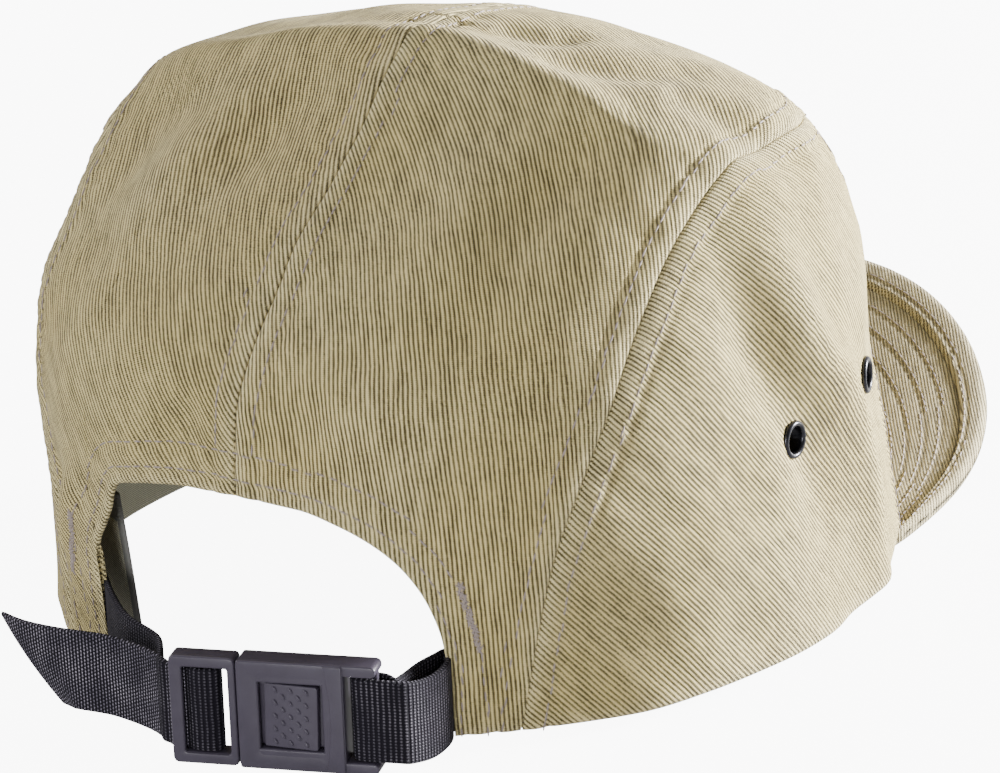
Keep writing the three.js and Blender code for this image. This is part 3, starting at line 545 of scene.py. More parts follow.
def back_panel(name, hand, arch_seam, rim_seam):
    arch = seam_places(arch_seam, near_both_ends(arch_seam, 1.5 * MM, True, False), hand)
    rim = seam_places(rim_seam, 1.3 * MM, hand)
    seam = seam_places(SIDE_SEAM, 2.0 * MM, hand)
    top = seam_places(FRONT_SEAM, near_both_ends(FRONT_SEAM, 2.2 * MM, False, True), hand)
    angle, level, lean = [
        np.concatenate([arch[k], rim[k][1:], seam[k][1:], top[k][1:]]) for k in range(3)]
    ends = plain_crown(angle, level)
    pole = plain_crown(np.array(0.0), np.array(1.0))
    length = np.linalg.norm(ends - pole, axis=-1) * 1.15  # the cloth bulges over the straight line
    shares = np.array([row_shares(span, True, False, BACK_ROWS) for span in length])
    shares = shares * (1 - 0.12 * shares * (1 - shares))  # closer low down than at the top
    angles = angle[:, None] + lean[:, None] * shares
    levels = level[:, None] + (1 - level[:, None]) * shares
    outer, normal = crown(angles, levels, np.ones(angles.size))
    plain = plain_crown(angles, levels)
    outline = seam_points(arch_seam + rim_seam[1:] + SIDE_SEAM[1:] + FRONT_SEAM[1:], hand)
    from_foot = nearest(plain.reshape(-1, 3), outline)[0].reshape(angles.shape)
    from_middle = np.abs(plain[..., 0])
    edge = np.minimum(from_foot, from_middle)
    outer[..., 0] = hand * np.maximum(outer[..., 0] * hand, GAP / 2)
    column = int(np.argmin(np.abs(angle * hand - BACK_ANCHOR_ANGLE)))
    uv = turned(back_uv(hand, angles[:, :-1], levels[:, :-1]), BACK_LEANS[hand], (column, 40))
    uv = np.concatenate([uv, np.broadcast_to(uv[:, -1].mean(0), (len(uv), 1, 2))], axis=1)
    panel = cloth_shell(name + "_cloth", outer, normal, edge, uv)
    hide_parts(name)
    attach(panel, "root")
    print(name, len(panel.data.polygons), "faces")
    return panel


crown_panels = [back_panel("back_panel_left", 1, ARCH_LEFT, BACK_RIM_LEFT),
                back_panel("back_panel_right", -1, ARCH, BACK_RIM)]

# %% [markdown]
# ## Sides and front
# The side and front panels stand on the rim, so their grids simply rise from it to the seam
# above. They use the same relief, and so the two sides of every seam match.

# %% Side and front panels
SIDE_ANCHOR_ANGLE = 84
SIDE_LEAN = 47
FRONT_LEAN = 40
STANDING_ROWS = 44
LOWEST_HEAD = 0.012  # keeps the shortest columns from having no length
FRONT_START = FRONT_EDGE[0][0]


def standing_panel(name, angle, head_level, edge_runs, lean, anchor_angle):
    """A panel whose columns rise from the rim to head_level."""
    length = np.maximum(head_level, LOWEST_HEAD) * CROWN_HEIGHT * 1.05  # the wall leans in
    shares = np.array([row_shares(span, True, True, STANDING_ROWS) for span in length])
    angles = np.repeat(angle[:, None], shares.shape[1], 1)
    levels = head_level[:, None] * shares
    outer, normal = crown(angles, levels, np.zeros(angles.size))
    plain = plain_crown(angles, levels).reshape(-1, 3)
    edge = np.min([nearest(plain, run)[0] for run in edge_runs], axis=0).reshape(angles.shape)
    anchor = (int(np.argmin(np.abs(angle - anchor_angle))), shares.shape[1] // 2)
    uv = laid_flat(outer, lean, anchor)
    panel = cloth_shell(name + "_cloth", outer, normal, edge, uv)
    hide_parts(name)
    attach(panel, "root")
    print(name, len(panel.data.polygons), "faces")
    return panel


def rim_points(first, last):
    angle = np.linspace(first, last, 500)
    return plain_crown(angle, angle * 0)


def side_panel(hand):
    places = near_both_ends(SIDE_SEAM, 1.8 * MM, False, True)
    angle, level, _, _ = seam_places(SIDE_SEAM, places, hand)
    angle, level = angle[1:], level[1:]
    runs = [rim_points(SIDE_SEAM[0][0] * hand, FRONT_START * hand),
            seam_points(SIDE_SEAM, hand), seam_points(FRONT_EDGE, hand)]
    name = "side_panel_left" if hand > 0 else "side_panel_right"
    return standing_panel(name, angle, level, runs, SIDE_LEAN, SIDE_ANCHOR_ANGLE * hand)


def front_panel():
    places = near_both_ends(FRONT_SEAM, 2.4 * MM, True, False)
    angle, level, _, _ = seam_places(FRONT_SEAM, places)
    angle = np.r_[angle, (360 - angle[:-1])[::-1]]
    level = np.r_[level, level[:-1][::-1]]
    runs = [rim_points(FRONT_START, 360 - FRONT_START)]
    for hand in (1, -1):
        runs += [seam_points(FRONT_SEAM, hand), seam_points(FRONT_EDGE, hand)]
    return standing_panel("front_panel", angle, level, runs, FRONT_LEAN, 180)


side_left, side_right, front_cloth = side_panel(1), side_panel(-1), front_panel()
crown_panels += [side_left, side_right, front_cloth]

# %% [markdown]
# ## Punched holes for the eyelets
# Each side panel has two holes. A short cutter is placed along the cloth's normal, and
# Blender's boolean takes it out of the panel, as the punch does.

# %% Punch the sides
EYELETS = {"rear": (84, 0.34), "front": (106.5, 0.36)}
EYELET_RADIUS = 4.2 * MM
EYELET_HOLE = 2.8 * MM
PUNCH_RADIUS = EYELET_HOLE + 0.7 * MM
PUNCH_DEPTH = 10 * MM


def frame_on_crown(angle, level):
    """A matrix whose Z points out of the cloth at that place."""
    point, normal = crown(np.array([float(angle)]), np.array([float(level)]), np.zeros(1))
    out = Vector(normal[0])
    return Matrix.Translation(Vector(point[0])) @ out.to_track_quat("Z", "Y").to_matrix().to_4x4()


def punched(panel, hand):
    """Takes the two holes out of a side panel."""
    for angle, level in EYELETS.values():
        bm = bmesh.new()
        bmesh.ops.create_cone(bm, cap_ends=True, segments=40, radius1=PUNCH_RADIUS,
                              radius2=PUNCH_RADIUS, depth=PUNCH_DEPTH,
                              matrix=frame_on_crown(angle * hand, level))
        mesh = bpy.data.meshes.new("punch")
        bm.to_mesh(mesh)
        bm.free()
        punch = bpy.data.objects.new("punch", mesh)
        bpy.context.scene.collection.objects.link(punch)
        cut = panel.modifiers.new("punch", "BOOLEAN")
        cut.object, cut.operation, cut.solver = punch, "DIFFERENCE", "EXACT"
        bpy.context.view_layer.update()
        made = bpy.data.meshes.new_from_object(
            panel.evaluated_get(bpy.context.evaluated_depsgraph_get()))
        panel.modifiers.clear()
        panel.data = made
        bpy.data.objects.remove(punch)


for panel, hand in ((side_left, 1), (side_right, -1)):
    punched(panel, hand)
print("side panel faces after the punch:", len(side_right.data.polygons))

# %% [markdown]
# ## The visor
# The visor is a board in a cloth cover. Its outline is a squared oval that rises towards the
# middle. Seen from above it has a padded band round the edge, a deep groove inside that band,
# and rows of stitches that follow the outline.

# %% The visor's surface
VISOR_HALF_WIDTH = 80 * MM
VISOR_REACH = 112 * MM
VISOR_THICKNESS = 3.2 * MM
VISOR_LIFT = 27 * MM
VISOR_CORNER_HEIGHT = 4.2 * MM
VISOR_SQUARE = 2.6
VISOR_ROOT_ANGLE = 122
VISOR_SETBACK = 4 * MM
VISOR_TUCK = 4 * MM  # how far its root reaches in under the crown
VISOR_ROUND_EDGE = 1.9 * MM
VISOR_GRAIN = 31  # degrees that its ribs are turned
VISOR_SHORT = 24 * MM  # near its corners, where it is shorter, groove and rows move to the edge
VISOR_GROOVE = 10 * MM
VISOR_GROOVE_DEPTH = 1.1 * MM
VISOR_PADDING = 0.9 * MM
VISOR_ROW_DEPTH = 0.28 * MM
VISOR_ROWS = [7.4 * MM] + [16.5 * MM + k * 6.5 * MM for k in range(6)]  # in from the outer edge


def visor_place(across, inward):
    """Points of the visor's upper face, across from -1 to 1 and inward from its outer edge, and
    how long the visor is there."""
    turn = across * np.pi / 2
    bend = lambda value: np.sign(value) * np.abs(value) ** (2 / VISOR_SQUARE)
    angle = 180 - across * (180 - VISOR_ROOT_ANGLE)
    root = plain_crown(angle, angle * 0) - crown_normal(angle, angle * 0) * VISOR_TUCK
    root[..., 2] -= GAP + CLOTH / 2
    corners = plain_crown(np.array(float(VISOR_ROOT_ANGLE)), np.array(0.0))[1] - VISOR_SETBACK
    edge = np.stack([
        VISOR_HALF_WIDTH * bend(np.sin(turn)),
        corners - VISOR_REACH * bend(np.cos(turn)),
        CROWN_AXIS[2] + VISOR_CORNER_HEIGHT - GAP
        + VISOR_LIFT * np.maximum(np.cos(turn), 0) ** VISOR_SQUARE], -1)
    length = np.linalg.norm(root - edge, axis=-1)
    share = np.clip(inward / length, 0, 1)[..., None]
    return edge + (root - edge) * share, length


def visor_relief(inward, length, across):
    reach = np.minimum(1, length / VISOR_SHORT)
    groove = VISOR_GROOVE_DEPTH * bell(inward, VISOR_GROOVE * reach, 0.45 * MM)
    padding = VISOR_PADDING * np.clip(inward / (3 * MM), 0, 1) * (inward < VISOR_GROOVE * reach)
    rows = sum(bell(inward, row * reach, ROW_WIDTH) for row in VISOR_ROWS)
    waves = 0.12 * MM * pucker(across * 0.17, 2) * bell(inward, VISOR_ROWS[0], 5 * MM)
    return -groove + padding - VISOR_ROW_DEPTH * rows + waves


def board_faces(columns, rows):
    """Faces of two grids, one under the other, and of the four strips that join their borders."""
    under = columns * rows
    faces = [grid_faces(columns, rows), grid_faces(columns, rows, under, flip=True)]
    for row, step in ((0, 1), (rows - 1, -1)):
        a = np.arange(columns - 1) * rows + row
        faces.append(np.stack([a, a + rows, a + rows + under, a + under], -1)[:, ::step])
    for column in (0, columns - 1):
        a = column * rows + np.arange(rows - 1)
        faces.append(np.stack([a, a + 1, a + 1 + under, a + under], -1))
    return np.concatenate(faces)


# %% The visor's mesh
def visor():
    across = np.linspace(-1, 1, 241)
    _, length = visor_place(across, across * 0)
    fine = np.unique(np.round(np.r_[np.linspace(0, 14, 42), np.linspace(14, 60, 60),
                                    np.linspace(60, 130, 36)], 3)) * MM
    share = np.clip(fine[None] / length[:, None], 0, 1)
    inward = share * length[:, None]
    grid_across = np.repeat(across[:, None], len(fine), 1)
    base, _ = visor_place(grid_across, inward)
    edge_share = np.clip(inward / VISOR_ROUND_EDGE, 0, 1)
    drop = VISOR_ROUND_EDGE * (1 - np.sqrt(1 - (1 - edge_share) ** 2)) * 0.85
    top, under = base.copy(), base.copy()
    lift = visor_relief(inward, length[:, None], grid_across)
    top[..., 2] += lift - drop
    under[..., 2] += -VISOR_THICKNESS + drop - lift * 0.5
    turn = np.radians(VISOR_GRAIN)
    cloth = base[..., :2] @ np.array([[np.cos(turn), -np.sin(turn)], [np.sin(turn), np.cos(turn)]])
    points = np.concatenate([top.reshape(-1, 3), under.reshape(-1, 3)])
    # Lighter near the outer edge: partly wear, partly a painted highlight on the padded band.
    edge_wear_and_highlight = np.exp(-inward / (3 * MM)).ravel()
    brim = close_up(new_object("visor_cloth", points, board_faces(*top.shape[:2]),
                               np.tile(cloth.reshape(-1, 2), (2, 1)), {"edge_wear_and_highlight": np.tile(edge_wear_and_highlight, 2)}))
    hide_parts("visor")
    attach(brim, "root")
    print("visor", len(brim.data.polygons), "faces")
    return brim


visor_cloth = visor()

# %% [markdown]
# ## The sweatband
# A ribbed cotton band is sewn inside the rim. Through the open arch its fine ribs show beside
# a smoother edge tape. It is a thin ring that follows the crown's inside and makes room for
# the two strap ends. Its left end hangs a little loose.

# %% Sweatband
BAND_HEIGHT = 30 * MM
BAND_THICKNESS = 1.2 * MM
BAND_LEAN = 2 * MM
STRAP_THICKNESS = 1.3 * MM
STRAP_PLY_GAP = 0.4 * MM
STRAP_ROOM = 2 * STRAP_THICKNESS + STRAP_PLY_GAP + 2 * GAP
STRAP_ROOM_ENDS = (13, 27)  # degrees from an end between which that room goes back to nothing
BAND_START = 31.0
BAND_LOOSE = 5 * MM  # how far the left end of the band hangs away from the wall
BAND_LOOSE_SPAN = 34  # degrees that hang loose
BAND_LOOSE_GROWTH = 0.15  # share by which the loose end is taller
BAND_ROWS = np.array([0, 0.3, 0.8, 2, 4, 7, 10, 14, 18, 22, 25, 27.5, 29.2, 29.7, 30]) / 30


def smooth_step(value, low, high):
    share = np.clip((value - low) / (high - low), 0, 1)
    return share * share * (3 - 2 * share)


def sweatband():
    angle = np.linspace(BAND_START, 360 - BAND_START, 420)
    height = BAND_ROWS
    angles = np.repeat(angle[:, None], len(height), 1)
    loose_end = 1 - smooth_step(angles, BAND_START, BAND_START + BAND_LOOSE_SPAN)
    levels = height[None] * (1 + BAND_LOOSE_GROWTH * loose_end) * BAND_HEIGHT / CROWN_HEIGHT
    from_end = np.minimum(angles, 360 - angles) - BAND_START
    room = STRAP_ROOM * (1 - smooth_step(from_end, *STRAP_ROOM_ENDS))
    depth = CLOTH + 2 * GAP + np.maximum(room, BAND_LEAN * height[None]) + BAND_THICKNESS / 2
    base = plain_crown(angles, levels)
    normal = crown_normal(angles, levels)
    ripple = 0.25 * MM * np.sin(angles / 3.1) * height[None]
    ripple += BAND_LOOSE * loose_end * (1.15 - 0.5 * height[None])
    along = np.r_[0, np.cumsum(np.linalg.norm(np.diff(base[:, 0], axis=0), axis=1))]
    uv = np.stack([np.repeat(along[:, None], len(height), 1), levels * CROWN_HEIGHT], -1)
    edge = np.minimum(np.minimum(height, 1 - height)[None] * BAND_HEIGHT,
                      np.radians(from_end) * RIM_HALF_WIDTH)
    outer = base - normal * (depth - BAND_THICKNESS / 2 + ripple)[..., None]
    band = cloth_shell("sweatband_cloth", outer, normal, edge, uv, BAND_THICKNESS, 0.5 * MM)
    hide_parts("sweatband")
    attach(band, "root")
    print("sweatband", len(band.data.polygons), "faces")
    return band


band_cloth = sweatband()

# %% [markdown]
# ## The strap
# The strap is flat webbing that stands on edge. Its plan is a smooth curve from inside the back
# panel to the buckle, the same points as in the CAD model. The short side is a doubled loop
# round the webbing bar, and the long side turns back round the ladder's middle bar and ends in
# a free end, cut at a slant.

# %% Sizes of the strap and the buckle
STRAP_WIDTH = 18 * MM
BUCKLE_HEIGHT = 23.5 * MM
BUCKLE_LIFT = 0.4 * MM
BUCKLE_ANGLE = 17
LADDER_LENGTH = 14 * MM
LADDER_THICKNESS = 5 * MM
LADDER_END_BAR = 2.7 * MM
LADDER_MIDDLE_BAR = 2.2 * MM
LADDER_INNER_BAR = 1.7 * MM
BAR_THICKNESS = 1.8 * MM
BODY_LENGTH = 22.4 * MM
BODY_THICKNESS = 6.2 * MM
BODY_WALL = 1.5 * MM
WINDOW_LENGTH = 13.3 * MM
WINDOW_HEIGHT = 16.3 * MM
HOOK_LENGTH = 6.7 * MM
HOOK_BAR = 2.2 * MM
BUTTON_LENGTH = 11.3 * MM
BUTTON_HEIGHT = 13.8 * MM
STRAP_FOOT = BUCKLE_LIFT + (BUCKLE_HEIGHT - STRAP_WIDTH) / 2
STRAP_LEVEL = (STRAP_FOOT + STRAP_WIDTH / 2) / CROWN_HEIGHT
STRAP_ROOT_ANGLES = np.array([40, 35, 31.5, 29.0])
WEBBING_ROWS = np.array([0, 0.25, 0.6, 1.1, 2, 3.6, 6, 9, 12, 14.4, 16, 16.9, 17.4, 17.75, 18]) * MM
CUT_LENGTH = 26 * MM  # over which the slanted end is cut back

# Plan points from above, as shares of the rim's two half sizes
RIM_SHARES = np.array([RIM_HALF_WIDTH, RIM_HALF_LENGTH])
BUCKLE_CENTRE = np.array([-0.226, 1.114]) * RIM_SHARES
RIGHT_RUN = [(-0.488, 0.862), (-0.495, 0.945)]
LEFT_RUN = [(0.4, 0.9), (0.28, 0.995), (0.136, 1.066)]
FREE_RUN = [(0.1, 1.138), (0.227, 1.11), (0.36, 1.103), (0.48, 1.074), (0.59, 1.034)]

BUCKLE_LENGTH = LADDER_LENGTH + GAP + BODY_LENGTH + HOOK_LENGTH
LADDER_LEFT = BUCKLE_LENGTH / 2
MIDDLE_BAR = LADDER_LEFT - (LADDER_LENGTH - LADDER_INNER_BAR + LADDER_END_BAR) / 2
BODY_LEFT = LADDER_LEFT - LADDER_LENGTH - GAP
HOOK_BAR_PLACE = -BUCKLE_LENGTH / 2 + HOOK_BAR / 2


# %% Plan curves
def at_buckle(left, out):
    """A plan point, so far left of the buckle's middle and so far out from it."""
    turn = np.radians(BUCKLE_ANGLE)
    return BUCKLE_CENTRE + [left * np.cos(turn) - out * np.sin(turn),
                            left * np.sin(turn) + out * np.cos(turn)]


def flowing(points, steps):
    """A smooth curve through plan points."""
    points = np.array(points)
    last = len(points) - 1
    made = []
    for t in np.linspace(0, last, steps + 1):
        i = min(int(t), last - 1)
        u = t - i
        before, a, b, after = points[[max(i - 1, 0), i, i + 1, min(i + 2, last)]]
        ma, mb = (b - before) / 2, (after - a) / 2
        made.append((2 * u**3 - 3 * u**2 + 1) * a + (u**3 - 2 * u**2 + u) * ma
                    + (3 * u**2 - 2 * u**3) * b + (u**3 - u**2) * mb)
    return made


def sideways(path):
    """Unit vectors to the left of a plan path, point by point."""
    line = unit(np.gradient(path, axis=0))
    return np.stack([-line[:, 1], line[:, 0]], -1)


def turn_round(bar, width, hand, loose=0.0):
    """Plan points of a strap that comes in outside a bar and goes back inside it."""
    out = BAR_THICKNESS / 2 + GAP + STRAP_THICKNESS / 2
    past = (width - BAR_THICKNESS / 2) / 2 + loose
    bend = [at_buckle(bar + hand * (past + out * np.cos(turn)), out * np.sin(turn))
            for turn in np.linspace(np.pi / 2, -np.pi / 2, 15)]
    return [at_buckle(bar - hand * width, out)] + bend + [at_buckle(bar - hand * width, -out)]


def root_points(hand, plies):
    """Plan points of a strap's hidden end, against the inside of the back panel."""
    depth = CLOTH + 2 * GAP + (plies * STRAP_THICKNESS + (plies - 1) * STRAP_PLY_GAP) / 2
    angle, level = STRAP_ROOT_ANGLES * hand, STRAP_ROOT_ANGLES * 0 + STRAP_LEVEL
    points = plain_crown(angle, level) - crown_normal(angle, level) * depth - CROWN_AXIS
    return list(points[:, :2])


def evenly(path, spacing):
    """The same path as points at even steps, and how far along each one is."""
    path = np.array(path)
    keep = np.r_[True, np.linalg.norm(np.diff(path, axis=0), axis=1) > 1e-6]
    path = path[keep]
    run = np.r_[0, np.cumsum(np.linalg.norm(np.diff(path, axis=0), axis=1))]
    places = np.linspace(0, run[-1], int(run[-1] / spacing))
    return np.stack([np.interp(places, run, path[:, k]) for k in (0, 1)], -1), places


# %% Webbing along a plan curve
def webbing(name, path, drop, slant=0.0, tilt=0.0):
    """drop gives how far the strap sinks along its length, and slant how far its end is cut
    back at the foot; tilt is how far the end's top leans out."""
    path, along = evenly(path, 0.55 * MM)
    for _ in range(3):
        path[1:-1] = (path[:-2] + 2 * path[1:-1] + path[2:]) / 4
    height = WEBBING_ROWS
    left = sideways(path)
    tail = smooth_step(along, along[-1] - CUT_LENGTH, along[-1])
    places = along[:, None] - slant * tail[:, None] * (1 - height[None] / STRAP_WIDTH)
    grid = np.empty((len(along), len(height), 3))
    normal = np.zeros_like(grid)
    for axis in (0, 1):
        grid[..., axis] = np.interp(places, along, path[:, axis])
        normal[..., axis] = np.interp(places, along, left[:, axis])
    normal = unit(normal)
    grid[..., 2] = STRAP_FOOT + height - drop(along)[:, None]
    grid += CROWN_AXIS
    across = height[None] / STRAP_WIDTH - 0.5
    lean = (tilt * across + 0.04 * slant * (1 - 4 * across**2)) * tail[:, None]
    outer = grid + normal * (STRAP_THICKNESS / 2 + lean[..., None])
    edge = np.minimum(np.minimum(height, STRAP_WIDTH - height)[None],
                      np.minimum(along, along[-1] - along)[:, None])
    uv = np.stack([places, np.repeat(height[None], len(along), 0)], -1)
    tape = cloth_shell(name, outer, normal, edge, uv, STRAP_THICKNESS, 0.45 * MM)
    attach(tape, "root")
    print(name, "is", round(along[-1] * 1000), "mm long")
    return tape


# %% The short side, a loop
PLY = (STRAP_THICKNESS + STRAP_PLY_GAP) / 2
SLACK_OUT = 2.4 * MM
SLACK_IN = 1.6 * MM
LOOP_SLACK = 1.7 * MM
ROOT_DROP = 2.6 * MM
END_DROP = 1.9 * MM
middle = np.array(flowing(root_points(-1, 2) + [RIM_SHARES * p for p in RIGHT_RUN]
                          + [at_buckle(HOOK_BAR_PLACE - 2.5 * HOOK_BAR, 0)], 60))
loose = np.sin(np.pi * np.clip(np.linspace(-1.3, 1, len(middle)), 0, 1))[:, None]
loop = (list(middle + sideways(middle) * (PLY + SLACK_OUT * loose))
        + turn_round(HOOK_BAR_PLACE, HOOK_BAR, 1, LOOP_SLACK)
        + list((middle - sideways(middle) * (PLY + SLACK_IN * loose))[::-1]))


def sinks_to_roots(along):
    return ROOT_DROP * smooth_step(np.abs(along - along[-1] / 2), 5 * MM, 22 * MM)


def sinks_to_end(along):
    return END_DROP * smooth_step(along, along[-1] - 34 * MM, along[-1])


strap_right = webbing("strap_right_webbing", loop, sinks_to_roots)
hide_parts("strap_right")

# %% The long side, with its free end
UNDER_END_BAR = BAR_THICKNESS / 2 - STRAP_THICKNESS / 2 - GAP / 2
UNDER_FREE = UNDER_END_BAR - STRAP_THICKNESS - STRAP_PLY_GAP
loaded = flowing(root_points(1, 1) + [RIM_SHARES * p for p in LEFT_RUN]
                 + [at_buckle(LADDER_LEFT + LADDER_END_BAR, UNDER_FREE),
                    at_buckle(LADDER_LEFT - LADDER_END_BAR, UNDER_FREE)], 90)
doubled = loaded + turn_round(MIDDLE_BAR, LADDER_MIDDLE_BAR, -1)[::-1]
FREE_FROM = evenly(doubled, MM)[1][-1] + 2 * MM  # where the free part begins, along the strap
free = flowing([at_buckle(LADDER_LEFT - 1.3 * LADDER_END_BAR, UNDER_END_BAR),
                at_buckle(LADDER_LEFT - LADDER_END_BAR / 2, UNDER_END_BAR),
                at_buckle(LADDER_LEFT + GAP, UNDER_END_BAR)]
               + [RIM_SHARES * p for p in FREE_RUN], 80)
strap_left = webbing("strap_left_webbing", doubled + free, sinks_to_end, 15 * MM, 5 * MM)
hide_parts("strap_left")

# %% [markdown]
# ## The buckle
# Moulded plastic has soft edges everywhere. Flat curves with holes, extruded and bevelled, give
# plates with windows and round edges at once, where booleans would leave sharp ones. The latch
# is a ladder frame, a middle bar and a button that sits a little askew; the body is a sleeve
# with a window, a raised end, and two rails that hold the webbing bar.

# %% Moulded plates
def rounded_box(x0, x1, z0, z1, corner, steps=6):
    """The outline of a box with round corners, in the buckle's own frame."""
    made = []
    for cx, cz, start in ((x1 - corner, z0 + corner, -90), (x1 - corner, z1 - corner, 0),
                          (x0 + corner, z1 - corner, 90), (x0 + corner, z0 + corner, 180)):
        turn = np.radians(np.linspace(start, start + 90, steps))
        made += [(cx + corner * np.cos(t), cz + corner * np.sin(t)) for t in turn]
    return made


def moulded(outlines, face, thickness, bevel=0.35 * MM):
    """A mesh of a plate that stands in the buckle's own frame, with its outer face at face."""
    curve = bpy.data.curves.new("plate", "CURVE")
    curve.dimensions, curve.fill_mode = "2D", "BOTH"
    curve.extrude, curve.bevel_depth, curve.offset = thickness / 2 - bevel, bevel, -bevel
    curve.bevel_resolution = 2
    for outline in outlines:
        spline = curve.splines.new("POLY")
        spline.points.add(len(outline) - 1)
        for point, (x, z) in zip(spline.points, outline):
            point.co = (x, z, 0, 1)
        spline.use_cyclic_u = True
    obj = bpy.data.objects.new("plate", curve)
    bpy.context.scene.collection.objects.link(obj)
    bpy.context.view_layer.update()
    mesh = bpy.data.meshes.new_from_object(
        obj.evaluated_get(bpy.context.evaluated_depsgraph_get()))
    bpy.data.objects.remove(obj)
    upright = Matrix(((1, 0, 0, 0), (0, 0, -1, face - thickness / 2), (0, 1, 0, 0), (0, 0, 0, 1)))
    mesh.transform(upright)
    return mesh


BUCKLE_PLACE = (Matrix.Translation((*(BUCKLE_CENTRE + CROWN_AXIS[:2]),
                                    CROWN_AXIS[2] + BUCKLE_LIFT + BUCKLE_HEIGHT / 2))
                @ Matrix.Rotation(np.radians(BUCKLE_ANGLE), 4, "Z"))


def assembled(name, meshes):
    """One object from several plates, placed on the strap."""
    bm = bmesh.new()
    for mesh in meshes:
        bm.from_mesh(mesh)
    bmesh.ops.remove_doubles(bm, verts=bm.verts, dist=0.005 * MM)
    bmesh.ops.recalc_face_normals(bm, faces=bm.faces)
    bmesh.ops.transform(bm, matrix=BUCKLE_PLACE, verts=bm.verts)
    mesh = bpy.data.meshes.new(name)
    bm.to_mesh(mesh)
    bm.free()
    mesh.shade_smooth()
    mesh.set_sharp_from_angle(angle=np.radians(38))
    obj = bpy.data.objects.new(name, mesh)
    bpy.context.scene.collection.objects.link(obj)
    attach(obj, "root")
    print(name, len(mesh.polygons), "faces")
    return obj


# %% The latch
INSET = 0.05 * MM  # keeps a plate's faces just inside those of the plate it overlaps
BUTTON_LEAN = -1.6
BUTTON_SWING = -3
HALF = BUCKLE_HEIGHT / 2
SLOT = STRAP_WIDTH / 2 + GAP
BUTTON_MIDDLE = BODY_LEFT - BODY_LENGTH / 2
LADDER_RIGHT = LADDER_LEFT - LADDER_LENGTH
ladder_outline = rounded_box(LADDER_RIGHT, LADDER_LEFT, -HALF, HALF, 1.3 * MM)
ladder_window = rounded_box(LADDER_RIGHT + LADDER_INNER_BAR, LADDER_LEFT - LADDER_END_BAR,
                            -SLOT, SLOT, 0.5 * MM)
rails = [rounded_box(LADDER_RIGHT + 2 * INSET, LADDER_LEFT - 2 * INSET, low, low + HALF - SLOT,
                     0.9 * MM) for low in (-HALF + INSET, SLOT - INSET)]
button = moulded([rounded_box(BUTTON_MIDDLE - BUTTON_LENGTH / 2, BUTTON_MIDDLE + BUTTON_LENGTH / 2,
                              -BUTTON_HEIGHT / 2, BUTTON_HEIGHT / 2, 0.5 * MM)],
                 BODY_THICKNESS / 2 - GAP, 2.4 * MM, 0.25 * MM)
BUTTON_TILT = (Matrix.Translation((BUTTON_MIDDLE, BODY_THICKNESS / 2, 0))
               @ Matrix.Rotation(np.radians(BUTTON_LEAN), 4, "Y")
               @ Matrix.Rotation(np.radians(BUTTON_SWING), 4, "Z")
               @ Matrix.Translation((-BUTTON_MIDDLE, -BODY_THICKNESS / 2, 0)))
button.transform(BUTTON_TILT)
latch = assembled("latch_moulding", [
    moulded([ladder_outline, ladder_window], LADDER_THICKNESS / 2, 1.5 * MM, 0.45 * MM),
    moulded([rails[0]], LADDER_THICKNESS / 2 - INSET, LADDER_THICKNESS - 2 * INSET, 0.45 * MM),
    moulded([rails[1]], LADDER_THICKNESS / 2 - INSET, LADDER_THICKNESS - 2 * INSET, 0.45 * MM),
    moulded([rounded_box(LADDER_RIGHT, LADDER_RIGHT + LADDER_INNER_BAR, -HALF + 1 * MM,
                         HALF - 1 * MM, 0.5 * MM)],
            LADDER_THICKNESS / 2 - INSET, LADDER_THICKNESS - 2 * INSET, 0.4 * MM),
    moulded([rounded_box(MIDDLE_BAR - LADDER_MIDDLE_BAR / 2, MIDDLE_BAR + LADDER_MIDDLE_BAR / 2,
                         -HALF + 1 * MM, HALF - 1 * MM, 0.4 * MM)],
            BAR_THICKNESS / 2, BAR_THICKNESS, 0.5 * MM),
    moulded([rounded_box(BODY_LEFT - BODY_LENGTH + BODY_WALL, LADDER_RIGHT + 1 * MM,
                         -BUTTON_HEIGHT / 2, BUTTON_HEIGHT / 2, 0.8 * MM)], 1.2 * MM, 2.4 * MM),
    button,
])
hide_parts("buckle_latch")

# %% The body
BODY_RIGHT = BODY_LEFT - BODY_LENGTH
HOOK_RIGHT = BODY_RIGHT - HOOK_LENGTH
body_outline = rounded_box(BODY_RIGHT, BODY_LEFT, -HALF, HALF, 1.1 * MM)
window = rounded_box(BUTTON_MIDDLE - WINDOW_LENGTH / 2, BUTTON_MIDDLE + WINDOW_LENGTH / 2,
                     -WINDOW_HEIGHT / 2, WINDOW_HEIGHT / 2, 1 * MM)
step_turns = np.radians(np.linspace(-24, 24, 15))
step_line = [(BODY_RIGHT + 2.9 * MM + 14 * MM * (1 - np.cos(t)), 28 * MM * np.sin(t))
             for t in step_turns]
raised_end = [(BODY_RIGHT + 0.2 * MM, HALF - 0.25 * MM),
              (BODY_RIGHT + 0.2 * MM, -HALF + 0.25 * MM)]
cavity = BUTTON_HEIGHT / 2 + GAP


def beam(x0, x1, z0, z1, y0, y1, corner=0.6 * MM, bevel=0.4 * MM):
    """A plate named by its two ends in each direction."""
    return moulded([rounded_box(x0, x1, z0, z1, corner)], y1, y1 - y0, bevel)


